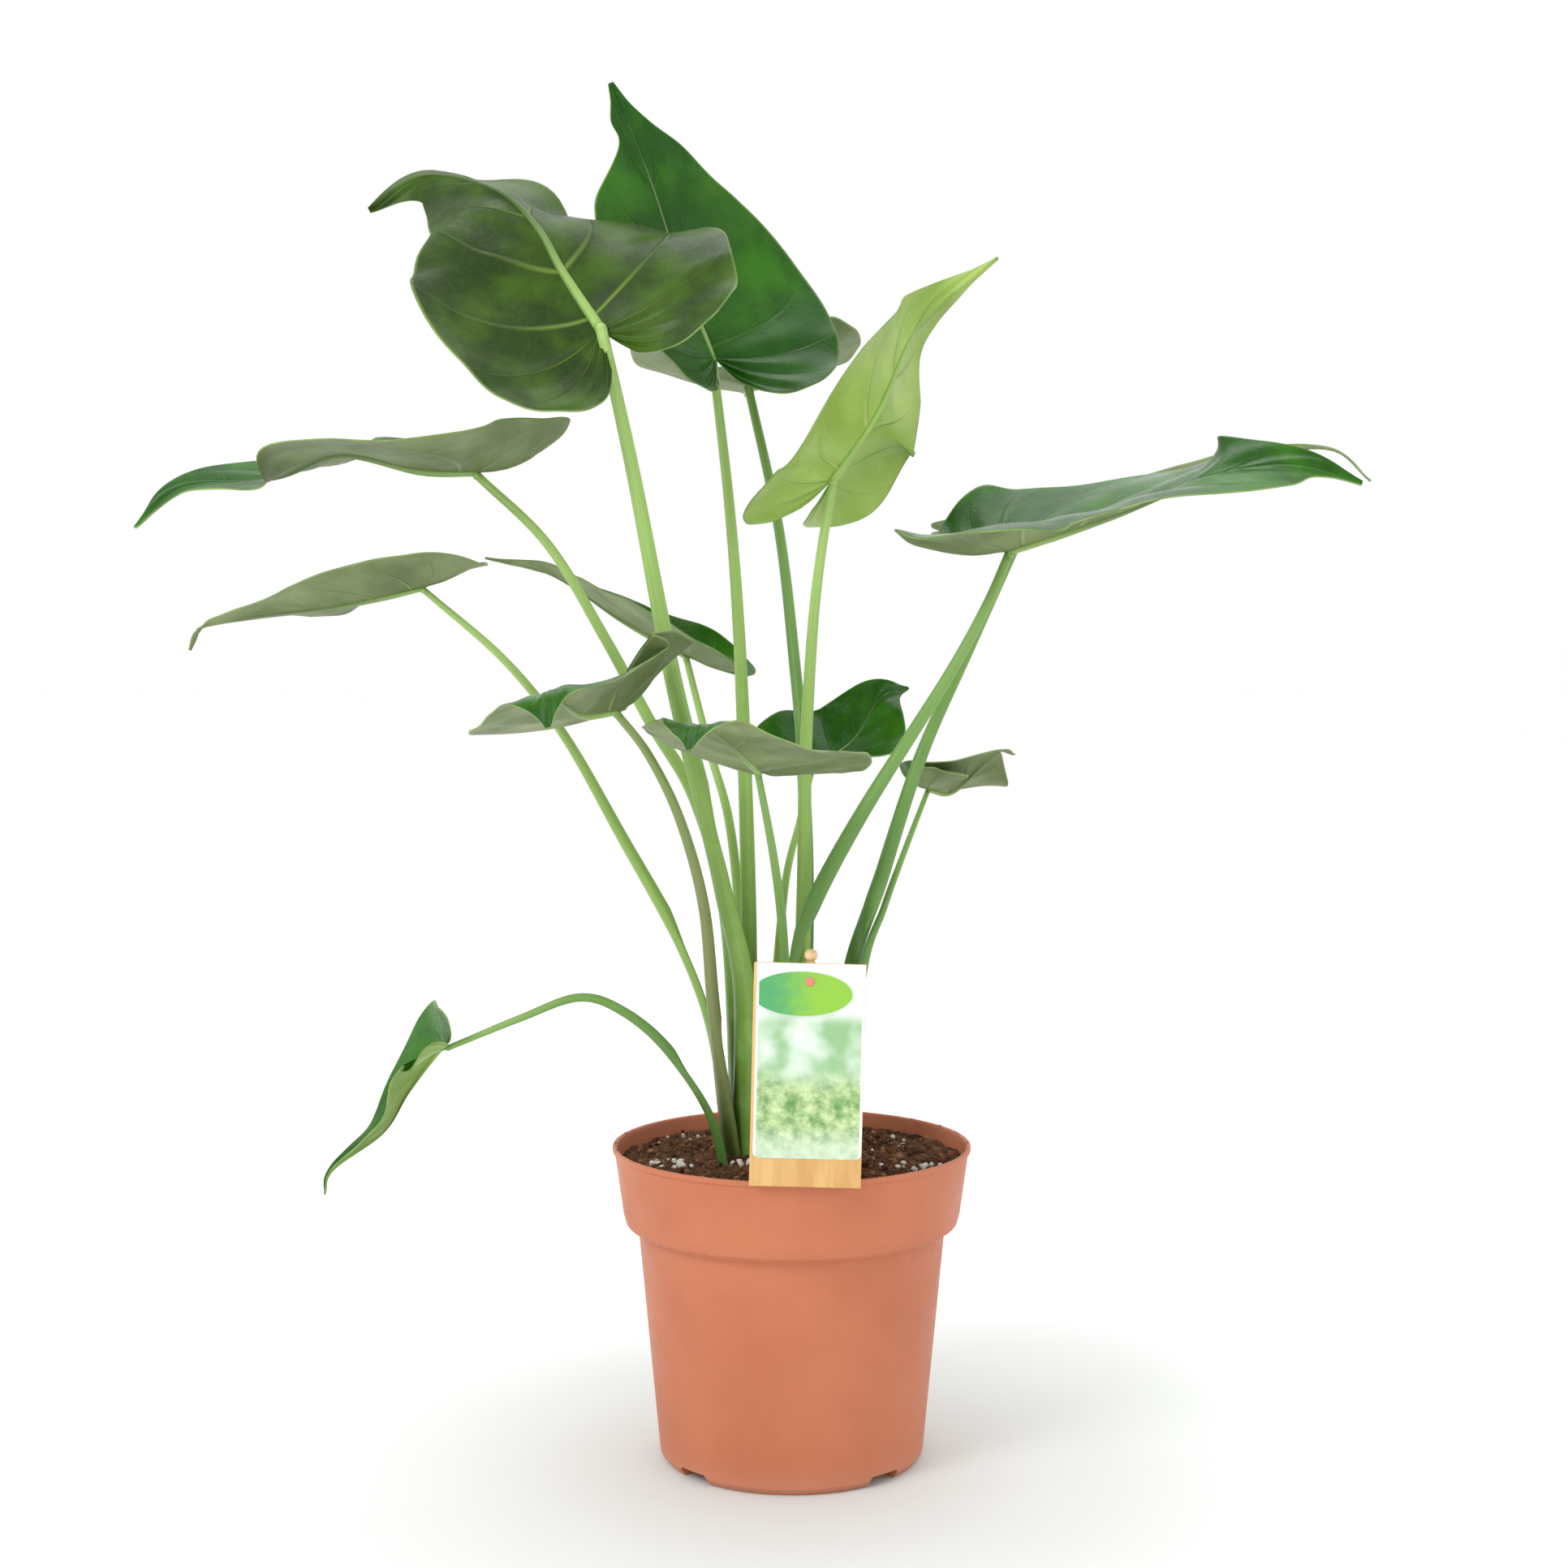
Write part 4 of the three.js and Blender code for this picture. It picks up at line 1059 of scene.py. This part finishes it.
def lump_points(shape, centre, size, rng, rough):
    angle = rng.uniform(0, 6.28)
    turn = Matrix.Rotation(angle, 3, Vector((rng.gauss(0, 1), rng.gauss(0, 1), rng.gauss(0, 1))))
    stretch = Vector((rng.uniform(0.7, 1.4), rng.uniform(0.7, 1.2), rng.uniform(0.6, 1.0)))
    shift = Vector((rng.uniform(0, 90), rng.uniform(0, 90), rng.uniform(0, 90)))
    points = []
    for point in shape:
        swell = size * (1 + rough * noise.noise(point * 1.7 + shift))
        moved = turn @ (point * stretch) * swell
        points.append((centre[0] + moved.x, centre[1] + moved.y, centre[2] + moved.z))
    return points


def strand_points(start, heading, length, thick, rng):
    """A curved fibre of three-sided rings."""
    rings = 5
    points = []
    bend = rng.uniform(-1.6, 1.6)
    lift = rng.uniform(-0.12, 0.3)
    x, y, z = start
    for ring in range(rings):
        radius = thick * (1 - 0.75 * abs(2 * ring / (rings - 1) - 1) ** 2)
        side = (-math.sin(heading), math.cos(heading))
        for k in range(3):
            turn = 2 * math.pi * k / 3
            sideways, upward = radius * math.cos(turn), radius * math.sin(turn)
            points.append((x + side[0] * sideways, y + side[1] * sideways, z + upward))
        step = length / (rings - 1)
        x += step * math.cos(heading)
        y += step * math.sin(heading)
        z += step * lift * (1 if ring < rings // 2 else -1)
        heading += bend / rings
    return points, tube_faces(3, rings)


def free_spot(rng, reach):
    """A spot on the compost, in millimetres, spread evenly over the disc."""
    radius = reach * math.sqrt(rng.random())
    return on_circle(radius, rng.uniform(0, 2 * math.pi))


def make_compost_bits(shades):
    rng = random.Random(SEED)
    reach = SOIL_RADIUS - 2.5
    shape, faces = unit_lump(2)
    coarse_shape, coarse_faces = unit_lump(1)
    for tone, material in enumerate(shades):
        crumbs, fibres = Heap(), Heap()
        for _ in range(CRUMBS):
            x, y = free_spot(rng, reach)
            size = min(rng.lognormvariate(-0.1, 0.5), 3.2)
            centre = (x, y, soil_surface(x, y) + 0.25 * size)
            crumbs.add(lump_points(coarse_shape, centre, size, rng, 0.9), coarse_faces)
        for _ in range(FIBRES):
            x, y = free_spot(rng, reach - 4)
            start = (x, y, soil_surface(x, y) + rng.uniform(0.2, 1.4))
            length = rng.uniform(3, 13)
            heading = rng.uniform(0, 2 * math.pi)
            if math.hypot(x + length * math.cos(heading), y + length * math.sin(heading)) > reach:
                heading += math.pi
            fibres.add(*strand_points(start, heading, length, rng.uniform(0.1, 0.34), rng))
        crumbs.piece(f"crumbs_{tone + 1}", material, "compost", True)
        fibres.piece(f"fibres_{tone + 1}", material, "compost", True)
    return shape, faces, rng, reach


def make_perlite(shape, faces, rng, reach, material):
    heap = Heap()
    groups = [(-74, -22, 8, 11), (-62, -34, 5, 6), (-30, -38, 3, 4), (-40, -84, 4, 3), (62, -34, 5, 5),
              (82, -30, 5, 7), (-60, 50, 9, 5), (20, 70, 12, 6), (66, 40, 9, 5)]
    spots = []
    for x, y, spread, count in groups:
        spots += [(rng.gauss(x, spread), rng.gauss(y, 0.8 * spread), 1.0) for _ in range(count)]
    spots += [(*free_spot(rng, reach), 0.55) for _ in range(PERLITE)]
    for x, y, scale in spots:
        if math.hypot(x, y) > reach:
            continue
        size = scale * rng.uniform(0.9, 2.0)
        centre = (x, y, soil_surface(x, y) + 0.7 * size)
        heap.add(lump_points(shape, centre, size, rng, 0.55), faces)
    return heap.piece("perlite", material, "compost", True)


def make_rim_crumbs(material):
    """Compost that was spilled on the pot's rim and under the label."""
    rng = random.Random(SEED + 1)
    shape, faces = unit_lump(1)
    heap = Heap()
    for _ in range(RIM_CRUMBS):
        bearing = rng.choice([rng.gauss(-1.2, 0.14), rng.gauss(-1.2, 0.14), rng.uniform(-math.pi, math.pi)])
        radius = rng.uniform(COLLAR_RADIUS - WALL + 1.2, RIM_RADIUS - 1.5)
        size = rng.uniform(0.18, 0.55)
        centre = (*on_circle(radius, bearing), POT_HEIGHT + 0.3 * size)
        heap.add(lump_points(shape, centre, size, rng, 0.8), faces)
    return heap.piece("rim_crumbs", material, "compost", True)


# Label


def rounded_plate(outline, front, back):
    """A plate with bevelled edges from an outline in the XZ plane, between two depths."""
    count = len(outline)
    inner = 0.25
    centre = np.mean(outline, axis=0)
    points, faces = [], []
    for depth, shrink in ((front, inner), (front + inner, 0), (back - inner, 0), (back, inner)):
        for x, z in outline:
            away = np.array([x, z]) - centre
            x2, z2 = np.array([x, z]) - unit(away) * shrink
            points.append((x2, depth, z2))
    for row in range(3):
        for k in range(count):
            a, b = row * count + k, row * count + (k + 1) % count
            faces.append((a, b, b + count, a + count))
    faces.append(list(range(count))[::-1])
    faces.append([3 * count + k for k in range(count)])
    return points, faces


def card_outline(left, right, bottom, top, corner, top_corner):
    steps = np.linspace(0, math.pi / 2, 9)
    corners = ((right, bottom, -math.pi / 2, corner), (right, top, 0, top_corner),
               (left, top, math.pi / 2, top_corner), (left, bottom, math.pi, corner))
    outline = []
    for x, z, turn, radius in corners:
        inward_x = x - radius if x == right else x + radius
        inward_z = z - radius if z == top else z + radius
        for angle in turn + steps:
            outline.append((inward_x + radius * math.cos(angle), inward_z + radius * math.sin(angle)))
    return outline


def plate_piece(name, outline, front, back, material, *nodes):
    points, faces = rounded_plate(outline, front, back)
    turn = Matrix.Rotation(math.radians(CARD["lean"]), 3, "Y")
    centre = Vector((CARD["x"], CARD["y"], CARD["z"]))
    mesh = mesh_of(name, [turn @ Vector(point) + centre for point in points], faces)
    xs, zs = [x for x, _ in outline], [z for _, z in outline]
    layer = mesh.uv_layers.new(name="UVMap")
    for loop in mesh.loops:
        x, z = points[loop.vertex_index][0], points[loop.vertex_index][2]
        across = (x - min(xs)) / (max(xs) - min(xs))
        up = (z - min(zs)) / (max(zs) - min(zs))
        layer.data[loop.index].uv = (across, up)
    face_outwards(mesh)
    return new_piece(name, mesh, [material], "card", *nodes)


def make_label():
    half_width, half_height = CARD["width"] / 2, CARD["height"] / 2
    board = card_outline(-half_width, half_width, -half_height, half_height, 0.6, 0.6)
    kraft = wood_shader("kraft_board", srgb(226, 184, 122), srgb(205, 158, 96), (9.0, 9.0, 1.4))
    plate_piece("label_board", board, -0.6, 0.6, kraft, "tag_card")
    left, right = -half_width + 1.6, half_width - 0.2
    panel = card_outline(left, right, -half_height + 15.5, half_height - 0.2, 3.4, 0.4)
    plate_piece("label_panel", panel, -0.78, -0.58, panel_shader())


def make_stick():
    """The turned stick behind the label, with its knob above the board."""
    bottom, top = Vector((8, -78, 105)), Vector((10.6, -103.6, 311))
    length = (top - bottom).length
    shaft = [(0.05, 0), (0.9, 0.4), (2.5, 8)]
    knob = [(2.5, 9.4), (3.3, 8.6), (3.3, 7.9), (1.9, 6.8), (2.1, 6.0), (3.4, 4.6), (3.6, 3.2), (3.3, 1.4),
            (2.2, 0.3), (0.05, 0)]
    profile = shaft + [(radius, length - down) for radius, down in knob]
    mesh = lathe("label_stick", rounded(profile, 0.5, 3), 36)
    aim = Vector((0, 0, 1)).rotation_difference(top - bottom).to_matrix().to_4x4()
    mesh.transform(Matrix.Translation(bottom * MM) @ aim)
    sharpen(mesh, 50)
    wood = wood_shader("stick_wood", srgb(228, 198, 150), srgb(196, 158, 108), (60.0, 60.0, 3.0))
    return new_piece("label_stick", mesh, [wood], "stick_wood", "tag_stick")


def make_rivet():
    shank = [(0.05, 6), (0.9, 6), (0.9, 0.35)]
    head = [(2.6, 0.35), (2.6, 0.1), (2.3, -0.35), (1.5, -0.62), (0.05, -0.7)]
    mesh = lathe("label_rivet", rounded(shank + head, 0.3, 3), 36)
    mesh.transform(Matrix.Rotation(math.radians(-90), 4, "X"))
    mesh.transform(Matrix.Translation(Vector((9.9, CARD["y"] - 0.95, 294)) * MM))
    sharpen(mesh, 50)
    red = speckled_shader("rivet_plastic", srgb(214, 120, 104), srgb(232, 146, 126), 900.0, 0.4, 0.00005)
    return new_piece("label_rivet", mesh, [red], "rivet", "tag_rivet")


# Faces of the foliage: light, dark and vein colour, roughness, height of the veins and
# specular level

YOUNG_LEAF = 4
MARGIN = srgb(146, 172, 98)
FACES = {
    "leaf_upper": ((52, 112, 16), (30, 80, 8), (84, 134, 40), 0.2, -1.0, 0.2),
    "leaf_under": ((132, 146, 98), (100, 118, 72), (164, 180, 116), 0.46, 1.0, 0.3),
    "leaf_under_lit": ((64, 96, 14), (32, 56, 8), (136, 164, 70), 0.34, 1.0, 0.22),
    "young_upper": ((146, 186, 66), (116, 160, 48), (176, 208, 108), 0.3, -1.0, 0.3),
    "young_under": ((174, 202, 104), (150, 182, 82), (196, 216, 136), 0.28, 1.0, 0.3),
    "small_under": ((130, 166, 64), (102, 140, 48), (160, 190, 92), 0.36, 1.0, 0.3),
}


def foliage():
    """The upper, under and margin materials of each leaf."""
    made = {}
    for name, (light, dark, vein, roughness, rise, specular) in FACES.items():
        colours = [srgb(*light), srgb(*dark), srgb(*vein), MARGIN]
        made[name] = leaf_shader(name, *colours, roughness, rise, specular)
    edge = edge_shader("leaf_margin", MARGIN)
    plain = [made["leaf_upper"], made["leaf_under"], edge]
    sets = {
        1: [made["leaf_upper"], made["leaf_under_lit"], edge],
        YOUNG_LEAF: [made["young_upper"], made["young_under"], edge],
        13: [made["leaf_upper"], made["small_under"], edge],
    }
    return {number: sets.get(number, plain) for number in range(1, len(LEAVES) + 1)}


def stalk_materials():
    green = stalk_shader("stalk_green", srgb(100, 140, 54), srgb(144, 182, 88), srgb(166, 200, 112))
    deep = stalk_shader("stalk_deep", srgb(70, 112, 42), srgb(100, 144, 66), srgb(132, 172, 88))
    brown = stalk_shader("stalk_brown", srgb(96, 112, 56), srgb(128, 138, 84), srgb(140, 164, 92))
    chosen = {number: green for number in range(1, len(LEAVES) + 1)}
    for number in (3, 5, 10, 12, 13, 14):
        chosen[number] = deep
    chosen[9] = brown
    return chosen


def rib_shader(name, near, far):
    """The midrib's underside: pale at the stalk, fading into the blade."""
    shader = Shader(name, roughness=0.42, specular=0.45)
    along = shader.parts(shader.place("UV"))[1]
    streaks = shader.noise(shader.place("UV", (20.0, 4.0, 1.0)), 3.0, 4.0)
    colour = shader.mix(shader.ramp(along, 1.02, 1.5), near, far)
    colour = shader.mix(shader.ramp(streaks, 0.45, 0.7, 0.0, 0.3), colour, far)
    return shader.surface(colour, None, shader.bump(streaks, 0.0003, 0.4))


def make_plant():
    blades, stalks = foliage(), stalk_materials()
    grey = rib_shader("rib_under", srgb(152, 184, 104), srgb(100, 122, 74))
    lit = rib_shader("rib_under_lit", srgb(156, 192, 100), srgb(62, 92, 30))
    fresh = rib_shader("rib_young", srgb(168, 202, 112), srgb(150, 188, 92))
    ribs = {1: lit, YOUNG_LEAF: fresh, 13: lit}
    for number, leaf in enumerate(LEAVES, 1):
        make_blade(number, leaf, blades[number])
        make_stalk(number, leaf, stalks[number], ribs.get(number, grey))


# Frame nodes that stay, stage, light and camera

FLOOR_REACH = 40.0
# Painted shadow: the floor's grey tone round the pot, and the white it fades to farther out.
FLOOR_SHADOW_TONE = (0.75, 0.8, 0.79, 1.0)
FLOOR_FAR = (1.0, 1.0, 1.0, 1.0)


def dress_frame():
    skin = speckled_shader("corm_skin", srgb(112, 86, 54), srgb(70, 50, 32), 260.0, 0.85, 0.0012)
    for name in ("corm_main", "corm_right", "corm_offset"):
        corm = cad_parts[name]
        for slot in corm.material_slots:
            slot.material = skin


def make_stage():
    """A wide pale floor that runs out to the white of the studio, with a painted soft shadow: grey round
    the pot, fading to white farther out.
    """
    mesh = bpy.data.meshes.new("studio_floor")
    corners = [(-FLOOR_REACH, -FLOOR_REACH, 0), (FLOOR_REACH, -FLOOR_REACH, 0),
               (FLOOR_REACH, FLOOR_REACH, 0), (-FLOOR_REACH, FLOOR_REACH, 0)]
    mesh.from_pydata(corners, [], [(0, 1, 2, 3)])
    shade_smooth(mesh)
    shader = Shader("studio_floor", roughness=0.75, specular=0.2)
    here = shader.place("Object")
    x, y, _ = shader.parts(here)
    distance = shader.length(x, y)
    # Painted shadow: grey near the pot, fading to white between 0.1 and 0.55 m out, with a noisy edge.
    shadow_edge_noise = shader.math("MULTIPLY", shader.noise(here, 3.0), 0.1)
    outward = shader.ramp(shader.math("ADD", distance, shadow_edge_noise), 0.1, 0.55)
    mesh.materials.append(shader.surface(shader.mix(outward, FLOOR_SHADOW_TONE, FLOOR_FAR)))
    new_object("studio_floor", mesh)


def area_light(name, place, target, size, watts, colour=(1, 1, 1)):
    data = bpy.data.lights.new(name, "AREA")
    data.shape = "DISK"
    data.size = size
    data.energy = watts
    data.color = colour
    light = new_object(name, data)
    light.location = place
    light.rotation_euler = (Vector(target) - Vector(place)).to_track_quat("-Z", "Y").to_euler()


def make_light():
    world = bpy.data.worlds.new("studio")
    world.use_nodes = True
    world.node_tree.nodes["Background"].inputs["Color"].default_value = (1, 1, 1, 1)
    world.node_tree.nodes["Background"].inputs["Strength"].default_value = 1.0
    bpy.context.scene.world = world
    area_light("key", (-1.5, -1.6, 1.9), (0, 0, 0.4), 1.1, 22)
    area_light("fill", (1.8, -1.6, 1.1), (0, 0, 0.35), 1.4, 3)
    area_light("top", (0.2, 0.7, 2.4), (0, 0, 0.4), 1.5, 9)
    bpy.context.scene.view_settings.view_transform = "Standard"
    bpy.context.scene.view_settings.look = "None"
    bpy.context.scene.view_settings.exposure = 0.0


# The camera stands in front of the label, a little above the middle of the plant, and looks
# slightly down.
CAMERA_DISTANCE = 1.35
CAMERA_HEIGHT = 0.4642
CAMERA_TILT = 2.922
CAMERA_LENS = 53.18
CAMERA_SHIFT = -0.00487


def make_camera():
    data = bpy.data.cameras.new("camera")
    data.lens = CAMERA_LENS
    data.sensor_width = 36.0
    data.shift_x = CAMERA_SHIFT
    data.clip_end = 50
    camera = new_object("camera", data)
    camera.location = (0, -CAMERA_DISTANCE, CAMERA_HEIGHT)
    camera.rotation_euler = (math.radians(90 - CAMERA_TILT), 0, 0)
    bpy.context.scene.camera = camera


make_camera()
make_light()
make_stage()
dress_frame()
make_plant()
make_pot()
DARK, BROWN, TAN = srgb(64, 42, 30), srgb(120, 80, 58), srgb(170, 124, 90)
make_soil(compost_shader("compost", DARK, BROWN, TAN))
peat_dark = compost_shader("peat_dark", DARK, BROWN, srgb(136, 94, 66))
peat_light = compost_shader("peat_light", BROWN, TAN, srgb(192, 148, 110))
lumps = make_compost_bits([peat_dark, peat_light])
perlite = speckled_shader("perlite", srgb(238, 236, 230), srgb(206, 200, 190), 1400.0, 0.8, 0.0006)
make_perlite(*lumps, perlite)
make_rim_crumbs(peat_dark)
make_label()
make_stick()
make_rivet()
